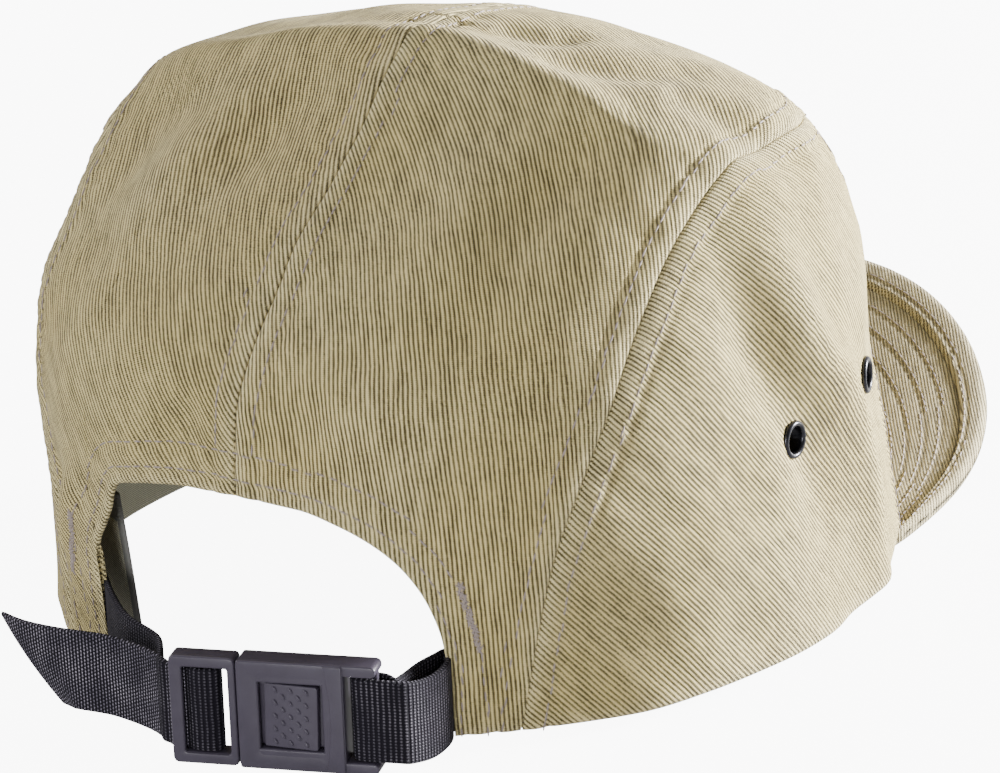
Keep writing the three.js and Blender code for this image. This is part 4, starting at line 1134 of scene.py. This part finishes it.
deep = BODY_THICKNESS / 2
wall_ends = (BODY_RIGHT + 2 * INSET, BODY_LEFT - 2 * INSET)
rail_ends = (HOOK_RIGHT, BODY_RIGHT + 3 * MM)
body = assembled("body_moulding", [
    moulded([body_outline, window], deep, BODY_WALL, 0.5 * MM),
    moulded([raised_end + step_line], deep + 0.22 * MM, 0.6 * MM, 0.2 * MM),
    moulded([body_outline], -deep + BODY_WALL, BODY_WALL, 0.5 * MM),
    beam(*wall_ends, cavity, HALF - 0.02 * MM, -deep, deep - 0.02 * MM),
    beam(*wall_ends, -HALF + 0.02 * MM, -cavity, -deep, deep - 0.02 * MM),
    beam(BODY_RIGHT, BODY_RIGHT + 2.2 * MM, -HALF + 1 * MM, HALF - 1 * MM, -deep, deep - INSET),
    beam(*rail_ends, SLOT, HALF, -deep + 0.02 * MM, deep - 0.3 * MM, 1.1 * MM),
    beam(*rail_ends, -HALF, -SLOT, -deep + 0.02 * MM, deep - 0.3 * MM, 1.1 * MM),
    beam(HOOK_RIGHT, HOOK_RIGHT + HOOK_BAR, -HALF + 1 * MM, HALF - 1 * MM,
         -BAR_THICKNESS / 2, BAR_THICKNESS / 2, 0.5 * MM, 0.5 * MM),
])
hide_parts("buckle_body")

# %% [markdown]
# ## Eyelets
# A metal eyelet is a tube whose edge is rolled over by a press. A profile turned round its axis
# gives exactly that form, with a fat round lip that catches the light.

# %% Turned eyelets
def lathed(name, profile, matrix, steps=48):
    """A profile of radius and height, turned round its axis and put in place by the matrix."""
    profile = np.array(profile)
    turn = np.linspace(0, 2 * np.pi, steps, endpoint=False)
    points = np.stack([np.outer(np.cos(turn), profile[:, 0]), np.outer(np.sin(turn), profile[:, 0]),
                       np.tile(profile[:, 1], (steps, 1))], -1)
    rows = len(profile)
    i, j = np.meshgrid(np.arange(steps), np.arange(rows), indexing="ij")
    ahead, above = (i + 1) % steps, (j + 1) % rows
    faces = np.stack([i * rows + j, ahead * rows + j, ahead * rows + above, i * rows + above], -1)
    obj = close_up(new_object(name, points, faces.reshape(-1, 4)))
    obj.data.transform(matrix)
    return obj


def lip(inner, outer, height, steps=11):
    """The rolled half of a lip, from its outer foot over the top to the hole."""
    middle, half = (inner + outer) / 2, (outer - inner) / 2
    turn = np.linspace(0, np.pi, steps)
    return [(middle + half * np.cos(t), height * np.sin(t) ** 0.8) for t in turn]


eyelets = []
inside = -CLOTH - 0.8 * MM
profile = ([(r, 0.45 * MM + z) for r, z in lip(EYELET_HOLE, EYELET_RADIUS, 0.95 * MM)]
           + [(EYELET_HOLE, inside - 0.3 * MM), (EYELET_HOLE + 0.3 * MM, inside - 0.6 * MM),
              (EYELET_RADIUS - 0.2 * MM, inside - 0.5 * MM), (EYELET_RADIUS, inside),
              (EYELET_HOLE + 0.45 * MM, inside), (EYELET_HOLE + 0.45 * MM, 0.3 * MM)])
for word, hand in (("left", 1), ("right", -1)):
    for place, (angle, level) in EYELETS.items():
        ring = lathed(f"ring_{word}_{place}", profile, frame_on_crown(angle * hand, level))
        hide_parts(f"eyelet_{word}_{place}")
        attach(ring, "root")
        eyelets.append(ring)
print("eyelets:", len(eyelets))

# %% [markdown]
# ## Stitches
# A row of stitches is a path beside a seam, dropped onto the finished cloth. Geometry Nodes then
# puts one short thread on every point, turned along the row. The threads vary a little in
# length, with a fixed seed, so that the rows look sewn and not printed.

# %% Dropping points onto the cloth
def cloth_tree(objects):
    bm = bmesh.new()
    for obj in objects:
        bm.from_mesh(obj.data)
    tree = BVHTree.FromBMesh(bm)
    bm.free()
    return tree


DROP_HEIGHT = 3 * MM
OUT_FROM = np.array([0, 0, 20]) * MM  # rows are lifted away from this height on the crown's axis
STITCH_SHOWN = STITCH * 0.86  # the thread that shows of each stitch
CROWN_TREE = cloth_tree(crown_panels)
VISOR_TREE = cloth_tree([visor_cloth])


def beside(points, distance, spacing=STITCH, skip=(0, 0), out=None):
    """Places for stitches at a distance from a seam, and the way the row runs there. They stand
    a little off the cloth, so that they drop onto its outer face and not onto its inner one."""
    heading = unit(np.gradient(points, axis=0))
    out = unit(points - CROWN_AXIS - OUT_FROM) if out is None else np.array(out)
    row = points + unit(np.cross(heading, out)) * distance + out * DROP_HEIGHT
    run = np.r_[0, np.cumsum(np.linalg.norm(np.diff(row, axis=0), axis=1))]
    places = np.arange(skip[0] + spacing / 2, run[-1] - skip[1], spacing)
    even = np.stack([np.interp(places, run, row[:, k]) for k in range(3)], -1)
    return even, unit(np.gradient(even, axis=0))


def dropped(tree, rows):
    """Points on the cloth, their headings and the cloth's own direction out, for many rows."""
    points, headings, outs = [], [], []
    for places, heading in rows:
        for place, along in zip(places, heading):
            point, normal, _, _ = tree.find_nearest(Vector(place))
            points.append(point)
            headings.append(along)
            outs.append(normal)
    return np.array(points), np.array(headings), np.array(outs)


# %% A row of stitches as a node group
def stitch_group():
    group = bpy.data.node_groups.new("stitch rows", "GeometryNodeTree")
    face = group.interface
    face.new_socket("Points", in_out="INPUT", socket_type="NodeSocketGeometry")
    for name, kind, value in (("Stitch Length", "NodeSocketFloat", STITCH_SHOWN),
                              ("Thread Width", "NodeSocketFloat", THREAD),
                              ("Seed", "NodeSocketInt", 3)):
        face.new_socket(name, in_out="INPUT", socket_type=kind).default_value = value
    face.new_socket("Material", in_out="INPUT", socket_type="NodeSocketMaterial")
    face.new_socket("Threads", in_out="OUTPUT", socket_type="NodeSocketGeometry")
    nodes, link = group.nodes, group.links.new
    given, result = nodes.new("NodeGroupInput"), nodes.new("NodeGroupOutput")
    thread = nodes.new("GeometryNodeMeshUVSphere")
    thread.inputs["Segments"].default_value = 8
    thread.inputs["Rings"].default_value = 7
    thread.inputs["Radius"].default_value = 0.5
    smooth = nodes.new("GeometryNodeSetShadeSmooth")
    heading, out = [nodes.new("GeometryNodeInputNamedAttribute") for _ in range(2)]
    for node, name in ((heading, "heading"), (out, "out")):
        node.data_type = "FLOAT_VECTOR"
        node.inputs["Name"].default_value = name
    turn = nodes.new("FunctionNodeAxesToRotation")
    turn.primary_axis, turn.secondary_axis = "X", "Z"
    vary = nodes.new("FunctionNodeRandomValue")
    vary.inputs[2].default_value, vary.inputs[3].default_value = 0.88, 1.08
    length = nodes.new("ShaderNodeMath")
    length.operation = "MULTIPLY"
    size = nodes.new("ShaderNodeCombineXYZ")
    place = nodes.new("GeometryNodeInstanceOnPoints")
    real, dye = nodes.new("GeometryNodeRealizeInstances"), nodes.new("GeometryNodeSetMaterial")
    link(given.outputs["Points"], place.inputs["Points"])
    link(thread.outputs["Mesh"], smooth.inputs["Geometry"])
    link(smooth.outputs["Geometry"], place.inputs["Instance"])
    link(heading.outputs["Attribute"], turn.inputs["Primary Axis"])
    link(out.outputs["Attribute"], turn.inputs["Secondary Axis"])
    link(turn.outputs["Rotation"], place.inputs["Rotation"])
    link(given.outputs["Seed"], vary.inputs["Seed"])
    link(vary.outputs[1], length.inputs[0])
    link(given.outputs["Stitch Length"], length.inputs[1])
    link(length.outputs[0], size.inputs["X"])
    link(given.outputs["Thread Width"], size.inputs["Y"])
    link(given.outputs["Thread Width"], size.inputs["Z"])
    link(size.outputs["Vector"], place.inputs["Scale"])
    link(place.outputs["Instances"], real.inputs["Geometry"])
    link(real.outputs["Geometry"], dye.inputs["Geometry"])
    link(given.outputs["Material"], dye.inputs["Material"])
    link(dye.outputs["Geometry"], result.inputs["Threads"])
    return group


STITCH_GROUP = stitch_group()
SOCKETS = {item.name: item.identifier for item in STITCH_GROUP.interface.items_tree}


def stitched(name, places, material, length=STITCH_SHOWN, width=THREAD):
    """One plain mesh of threads, from the points, headings and ways out in places."""
    points, headings, outs = places
    carrier = new_object(name, points, [])
    for key, vectors in (("heading", headings), ("out", outs)):
        attribute = carrier.data.attributes.new(key, "FLOAT_VECTOR", "POINT")
        attribute.data.foreach_set("vector", vectors.ravel())
    sew = carrier.modifiers.new("sew", "NODES")
    sew.node_group = STITCH_GROUP
    for key, value in (("Stitch Length", length), ("Thread Width", width), ("Material", material)):
        sew[SOCKETS[key]] = value
    bpy.context.view_layer.update()
    made = bpy.data.meshes.new_from_object(
        carrier.evaluated_get(bpy.context.evaluated_depsgraph_get()))
    carrier.modifiers.clear()
    carrier.data = made
    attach(carrier, "root")
    print(name, "has", len(points), "stitches")
    return carrier


# %% [markdown]
# ## Materials
# Shader maths is written as Python expressions: the class below wraps a socket, and each
# operator adds one Math node. Every cloth is painted on its own UV map, in metres, so a rib or
# a thread keeps its real size whatever the panel does.

# %% Sockets in Python maths
class Value:
    def __init__(self, paint, socket):
        self.paint, self.socket = paint, socket

    def maths(self, operation, *values):
        return self.paint.node("ShaderNodeMath", {"operation": operation},
                               dict(enumerate(values)))

    def __add__(self, other):
        return self.maths("ADD", self, other)

    def __sub__(self, other):
        return self.maths("SUBTRACT", self, other)

    def __rsub__(self, other):
        return self.maths("SUBTRACT", other, self)

    def __mul__(self, other):
        return self.maths("MULTIPLY", self, other)

    def __truediv__(self, other):
        return self.maths("DIVIDE", self, other)

    __radd__, __rmul__ = __add__, __mul__

    def whole(self):
        return self.maths("FLOOR", self)

    def wave(self):
        """From 0 to 1 and back once for each whole number."""
        return self.maths("COSINE", self * (2 * np.pi)) * -0.5 + 0.5

    def between(self, low, high):
        """0 at low, 1 at high, and a smooth change from one to the other."""
        return self.paint.node("ShaderNodeMapRange", {"interpolation_type": "SMOOTHSTEP"},
                               {"Value": self, "From Min": low, "From Max": high})


class Paint:
    """A material or a world, and short ways to add nodes to it."""

    def __init__(self, name, owners=bpy.data.materials, shader="Principled BSDF"):
        self.material = owners.new(name)
        self.material.use_nodes = True
        self.tree = self.material.node_tree
        self.shader = self.tree.nodes[shader]

    def feed(self, socket, value):
        if isinstance(value, Value):
            self.tree.links.new(value.socket, socket)
        else:
            socket.default_value = value

    def node(self, kind, settings=None, inputs=None, output=0):
        made = self.tree.nodes.new(kind)
        for key, value in (settings or {}).items():
            setattr(made, key, value)
        for key, value in (inputs or {}).items():
            self.feed(made.inputs[key], value)
        return Value(self, made.outputs[output])

    def cloth_axes(self):
        """The two directions of the cloth's UV map, in metres."""
        uv = self.node("ShaderNodeUVMap", {"uv_map": "cloth"})
        first = self.node("ShaderNodeSeparateXYZ", None, {0: uv})
        return first, Value(self, first.socket.node.outputs[1])

    def place(self):
        return self.node("ShaderNodeTexCoord", None, None, "Object")

    def noise(self, vector, scale, detail=2.0, rough=0.5):
        return self.node("ShaderNodeTexNoise", None, {
            "Vector": vector, "Scale": scale, "Detail": detail, "Roughness": rough})

    def vector(self, x, y, z=0.0):
        return self.node("ShaderNodeCombineXYZ", None, {0: x, 1: y, 2: z})

    def mix(self, share, first, second):
        return self.node("ShaderNodeMix", {"data_type": "RGBA"}, {0: share, 6: first, 7: second}, 2)

    def finish(self, colour, roughness, height=None, metallic=0.0, sheen=0.0, shine=0.5):
        self.feed(self.shader.inputs["Base Color"], colour)
        self.feed(self.shader.inputs["Roughness"], roughness)
        self.feed(self.shader.inputs["Metallic"], metallic)
        self.shader.inputs["Specular IOR Level"].default_value = shine
        self.shader.inputs["Sheen Weight"].default_value = sheen
        self.shader.inputs["Sheen Roughness"].default_value = 0.5
        if height is not None:
            bump = self.node("ShaderNodeBump", None,
                             {"Height": height, "Distance": 1.0, "Strength": 1.0})
            self.feed(self.shader.inputs["Normal"], bump)
        return self.material


# %% Twill
RIB = 0.95 * MM
FLOAT = 0.47 * MM  # length of one bead of yarn along a rib
KHAKI_RIDGE = (0.62, 0.50, 0.21, 1)
KHAKI_PALE = (0.76, 0.65, 0.34, 1)
KHAKI_GROOVE = (0.062, 0.048, 0.018, 1)
# The visor's colours are the same khaki made darker: painted shade, since its top gets less light.
VISOR_SHADED_RIDGE = (0.36, 0.30, 0.16, 1)
VISOR_SHADED_PALE = (0.58, 0.50, 0.30, 1)


def twill(name, rib, ridge_colour, pale_colour):
    paint = Paint(name)
    u, v = paint.cloth_axes()
    spot = paint.place()
    drift = paint.noise(spot, 55.0, 3.0) - 0.5
    ribs = u / rib + drift * 1.1
    floats = v / FLOAT + ribs.whole() * 0.37 + (paint.noise(spot, 900.0) - 0.5) * 0.5
    ridge = ribs.wave()
    bead = floats.wave()
    yarn = paint.noise(paint.vector(ribs.whole() * 3.7, v / (9 * MM)), 1.0, 2.0)
    fuzz = paint.noise(spot, 2600.0, 2.0)
    edge_wear_and_highlight = paint.node("ShaderNodeAttribute", {"attribute_name": "edge_wear_and_highlight"}, None, "Fac")
    body = ridge * 0.7 + bead * (1 - ridge * 0.5) * 0.46
    shade = (body + (yarn - 0.5) * 0.7 + (fuzz - 0.5) * 0.8).between(0.2, 0.84)
    blotch = paint.noise(spot, 16.0, 4.0, 0.6)
    # Random patches turn pale, and so do seams and edges: partly wear, partly a painted highlight.
    fading_and_highlight = (blotch + edge_wear_and_highlight * 0.55).between(0.3, 1.0)
    colour = paint.mix(shade, KHAKI_GROOVE, paint.mix(fading_and_highlight, ridge_colour, pale_colour))
    height = (body * 0.24 + (fuzz - 0.5) * 0.05 + (yarn - 0.5) * 0.05) * MM
    return paint.finish(colour, 0.95, height, sheen=0.06, shine=0.3)


# %% Sweatband and webbing
TAPE_WIDTH = 2.4 * MM


def sweatband_cotton():
    paint = Paint("ribbed cotton")
    along, up = paint.cloth_axes()
    spot = paint.place()
    tape = (up - (BAND_HEIGHT - TAPE_WIDTH)).between(0.0, 0.2 * MM)
    edge = (along - TAPE_WIDTH).between(0.2 * MM, 0.0)
    smooth = tape + edge
    ribs = (up / (0.55 * MM)).wave()
    knit = (along / (0.6 * MM)).wave()
    fuzz = paint.noise(spot, 1900.0)
    relief = ribs * 0.75 + knit * 0.25
    shade = (relief + (fuzz - 0.5) * 0.4).between(0.05, 1.0)
    cotton = paint.mix(shade, (0.34, 0.33, 0.24, 1), (0.82, 0.80, 0.64, 1))
    ribbon = paint.mix(fuzz, (0.17, 0.17, 0.16, 1), (0.26, 0.26, 0.25, 1))
    colour = paint.mix(smooth, cotton, ribbon)
    return paint.finish(colour, 0.95, relief * (1 - smooth) * (0.14 * MM), sheen=0.05)


def strap_webbing(name, pitch, bead_pitch, stagger, tone):
    paint = Paint(name)
    along, up = paint.cloth_axes()
    spot = paint.place()
    columns = along / pitch + (paint.noise(spot, 160.0) - 0.5) * 0.3
    beads = up / bead_pitch + columns.whole() * stagger + (paint.noise(spot, 420.0) - 0.5) * 0.4
    line = columns.wave()
    weave = line * 0.45 + line * beads.wave() * 0.55
    fuzz = paint.noise(spot, 3600.0, 2.0)
    shade = (weave + (fuzz - 0.5) * 0.7).between(0.3, 1.05)
    patch = paint.noise(spot, 130.0, 3.0).between(0.3, 0.75)
    thread = paint.mix(patch, (0.10 * tone, 0.092 * tone, 0.12 * tone, 1),
                       (0.27 * tone, 0.25 * tone, 0.30 * tone, 1))
    colour = paint.mix(shade, (0.004, 0.003, 0.007, 1), thread)
    height = (weave * 0.3 + (fuzz - 0.5) * 0.06) * MM
    return paint.finish(colour, 0.9, height, shine=0.2)


# %% Plastic, gunmetal and thread
def moulded_plastic():
    paint = Paint("slate plastic")
    spot = paint.place()
    grain = paint.noise(spot, 5200.0, 2.0)
    haze = paint.noise(spot, 220.0, 3.0)
    colour = paint.mix(haze, (0.042, 0.035, 0.052, 1), (0.062, 0.054, 0.078, 1))
    return paint.finish(colour, haze * 0.16 + 0.24, grain * (0.012 * MM), shine=0.38)


def gunmetal():
    paint = Paint("gunmetal")
    spot = paint.place()
    brushed = paint.noise(spot, 700.0, 4.0, 0.6)
    colour = paint.mix(brushed, (0.012, 0.012, 0.015, 1), (0.05, 0.05, 0.058, 1))
    return paint.finish(colour, brushed * 0.2 + 0.16, brushed * (0.01 * MM), metallic=0.9)


def sewing_thread():
    paint = Paint("sewing thread")
    spot = paint.place()
    twist = paint.noise(spot, 2400.0, 2.0)
    colour = paint.mix(twist, (0.15, 0.12, 0.115, 1), (0.40, 0.33, 0.30, 1))
    return paint.finish(colour, 0.6, twist * (0.03 * MM), sheen=0.1)


MATERIALS = {"twill": twill("khaki twill", RIB, KHAKI_RIDGE, KHAKI_PALE),
             "visor twill, painted shade": twill("khaki twill, visor, painted shade", RIB * 0.8, VISOR_SHADED_RIDGE, VISOR_SHADED_PALE),
             "band": sweatband_cotton(),
             "webbing": strap_webbing("woven strap", 1.05 * MM, 0.68 * MM, 0.0, 0.55),
             "free webbing": strap_webbing("woven strap, free part", 0.85 * MM, 0.8 * MM, 0.5, 1.5),
             "plastic": moulded_plastic(), "eyelet": gunmetal(), "thread": sewing_thread()}


def dressed(material, *objects):
    """Gives the objects one material and no other."""
    for obj in objects:
        obj.data.materials.clear()
        obj.data.materials.append(MATERIALS[material])


dressed("twill", *crown_panels)
# The visor gets the darker copy of the khaki, with shade painted in.
dressed("visor twill, painted shade", visor_cloth)
dressed("band", band_cloth)
dressed("webbing", strap_left, strap_right)
strap_left.data.materials.append(MATERIALS["free webbing"])
strap_uv = strap_left.data.uv_layers["cloth"].data
for face in strap_left.data.polygons:
    face.material_index = int(strap_uv[face.loop_start].uv.x > FREE_FROM)
dressed("plastic", latch, body)
dressed("eyelet", *eyelets)
print("materials:", sorted(MATERIALS))

# %% [markdown]
# ## The rows that are sewn
# Two rows run beside every seam, one on each panel. Two more follow the hem of the arch, and
# the visor has rows that copy its outline.

# %% Rows on the crown
TOP_LEVEL = 0.995  # the middle seam passes this close to the top on both sides
HEM_WIDTH = 9 * MM  # the middle rows begin above the hem


def level_line(angle, levels):
    return plain_crown(np.full(len(levels), float(angle)), levels)


over_the_top = np.concatenate([level_line(0, np.linspace(ARCH[0][1], TOP_LEVEL, 300)),
                               level_line(180, np.linspace(TOP_LEVEL, FRONT_SEAM[-1][1], 160))])
rows = [beside(over_the_top, offset, skip=(HEM_WIDTH, 0)) for offset in (STITCH_LINE, -STITCH_LINE)]
for points in SEAM_RUNS:
    for offset in (STITCH_LINE, -STITCH_LINE):
        rows.append(beside(points, offset))
print("rows on the crown:", len(rows))
stitched("crown_stitches", dropped(CROWN_TREE, rows), MATERIALS["thread"])
hem_rows = [beside(HEM_RUN, -line) for line in HEM_LINES]
stitched("hem_stitches", dropped(CROWN_TREE, hem_rows), MATERIALS["thread"])

# %% Bar-tacks
# A bar-tack is a tight zigzag that locks the hem where the strap pulls.
TACK = np.array([(31.3, 0.245), (32.5, 0.197), (33.8, 0.147), (33.6, 0.1)])  # angle and level
TACK_END = 2.2  # how many steps of that table it runs
for word, hand in (("left", 1), ("right", -1)):
    line = plain_crown(*[np.interp(np.linspace(0, TACK_END, 60), range(4), column)
                         for column in (TACK[:, 0] * hand, TACK[:, 1])])
    points, headings, outs = dropped(CROWN_TREE, [beside(line, 0, 0.45 * MM)])
    across = np.cross(headings, outs)
    zigzag = np.where(np.arange(len(points)) % 2, 1, -1)[:, None]
    headings = unit(headings + zigzag * across * 0.9)
    stitched(f"bar_tack_{word}", (points, headings, outs), MATERIALS["thread"], 2.4 * MM,
             0.5 * MM)


# %% Rows on the visor
def visor_row(inward):
    across = np.linspace(-0.97, 0.97, 500)
    _, length = visor_place(across, across * 0)
    reach = np.minimum(1, length / VISOR_SHORT)
    shown = inward * reach < length - 2 * MM
    points, _ = visor_place(across[shown], (inward * reach)[shown])
    return beside(points, 0, out=(0, 0, 1))


visor_rows = [visor_row(row) for row in VISOR_ROWS]
stitched("visor_stitches", dropped(VISOR_TREE, visor_rows), MATERIALS["thread"])

# %% Loose threads at the strap's cut end
FRAYED = 70
end = [vertex.co.copy() for vertex in strap_left.data.vertices
       if vertex.co.z < STRAP_FOOT + STRAP_WIDTH + MM]
end = np.array(sorted(end, key=lambda place: -place.x)[:FRAYED])
chance = np.random.default_rng(11)
fray = unit(chance.normal(size=end.shape) * [0.5, 0.35, 0.35] + [1, -0.1, 0.1])
stitched("frayed_threads", (end + fray * 0.5 * MM, fray, unit(chance.normal(size=end.shape))),
         MATERIALS["webbing"], 1.9 * MM, 0.16 * MM)

# %% Grip dots on the button, in rows of three and two
GRIP_ACROSS = 3.3 * MM
GRIP_UP = 1.42 * MM
dots = []
for row in range(9):
    in_row = 2 if row % 2 else 3
    for column in range(in_row):
        dots.append((BUTTON_MIDDLE + (column - (in_row - 1) / 2) * GRIP_ACROSS, (4 - row) * GRIP_UP))
place = BUCKLE_PLACE @ BUTTON_TILT
centres = np.array([place @ Vector((x, BODY_THICKNESS / 2 - GAP, z)) for x, z in dots])
turned_out = place.to_3x3()
count = len(dots)
stitched("button_grips", (centres, np.tile(turned_out @ Vector((0.5, 0, 0.85)), (count, 1)),
                          np.tile(turned_out @ Vector((0, 1, 0)), (count, 1))),
         MATERIALS["plastic"], 1.5 * MM, 0.8 * MM)

# %% [markdown]
# ## Camera, floor and light
# The camera stands where the photograph was taken from: behind the cap, to its right, a little
# above. The light is a soft studio: a room that is bright beyond the cap and dimmer on the
# camera's side, a key light low on the right and a little beyond the cap, which makes the side
# panel glow, and two weak fills on the camera's side. The floor shines for the camera alone, so
# it looks white and still sends little light up to the cap.

# %% Camera
CAMERA_AZIMUTH = 211
CAMERA_HEIGHT_ANGLE = 18.5
CAMERA_ROLL = -2
CAMERA_DISTANCE = 0.9
CAMERA_LENS = 145.8
CAMERA_SENSOR = 36
AIM = Vector((-9.5, 26.8, 46.9)) * MM

azimuth, height_angle = np.radians([CAMERA_AZIMUTH, CAMERA_HEIGHT_ANGLE])
backward = Vector((np.sin(azimuth) * np.cos(height_angle), -np.cos(azimuth) * np.cos(height_angle),
                   np.sin(height_angle)))
camera_data = bpy.data.cameras.new("camera")
camera_data.lens, camera_data.sensor_width = CAMERA_LENS, CAMERA_SENSOR
camera = bpy.data.objects.new("camera", camera_data)
bpy.context.scene.collection.objects.link(camera)
upright = backward.to_track_quat("Z", "Y").to_matrix().to_4x4()
camera.matrix_world = (Matrix.Translation(AIM + backward * CAMERA_DISTANCE) @ upright
                       @ Matrix.Rotation(np.radians(CAMERA_ROLL), 4, "Z"))
bpy.context.scene.camera = camera


# %% Floor
FLOOR_HALF = 6
corners = [(-1, -1, 0), (1, -1, 0), (1, 1, 0), (-1, 1, 0)]
floor = new_object("floor", np.array(corners) * FLOOR_HALF, [(0, 1, 2, 3)])
ground = Paint("pale floor")
speckle = ground.noise(ground.place(), 300.0)
seen = ground.node("ShaderNodeLightPath")  # 1 for the camera's own rays
glow = ground.mix(seen, (0.04, 0.04, 0.04, 1), (1, 1, 1, 1))
ground.feed(ground.shader.inputs["Emission Color"], glow)
ground.shader.inputs["Emission Strength"].default_value = 9
floor.data.materials.append(ground.finish(
    ground.mix(speckle, (0.22, 0.22, 0.22, 1), (0.24, 0.24, 0.24, 1)), 0.9))


# %% Lights
def area_light(name, position, size, power, target=AIM):
    data = bpy.data.lights.new(name, "AREA")
    data.shape, data.size, data.energy = "DISK", size, power
    light = bpy.data.objects.new(name, data)
    bpy.context.scene.collection.objects.link(light)
    light.location = position
    light.rotation_euler = (Vector(position) - target).to_track_quat("Z", "Y").to_euler()


studio = Paint("studio", bpy.data.worlds, "Background")
way = studio.node("ShaderNodeTexCoord", None, None, "Generated")
towards_camera = studio.node("ShaderNodeVectorMath", {"operation": "DOT_PRODUCT"},
                             {0: way, 1: tuple(backward)}, "Value")
studio.feed(studio.shader.inputs["Color"],
            studio.mix(towards_camera.between(-0.5, 0.85), (1, 0.985, 0.96, 1), (0.2, 0.2, 0.2, 1)))
studio.shader.inputs["Strength"].default_value = 1.5
bpy.context.scene.world = studio.material
area_light("key", (-1.05, -1.2, 0.45), 0.4, 205)
area_light("fill", (1.1, 1.3, 0.7), 0.9, 11)
area_light("low fill", (-0.4, 1.5, 0.25), 0.5, 12)
print("camera at", [round(value, 3) for value in camera.location])
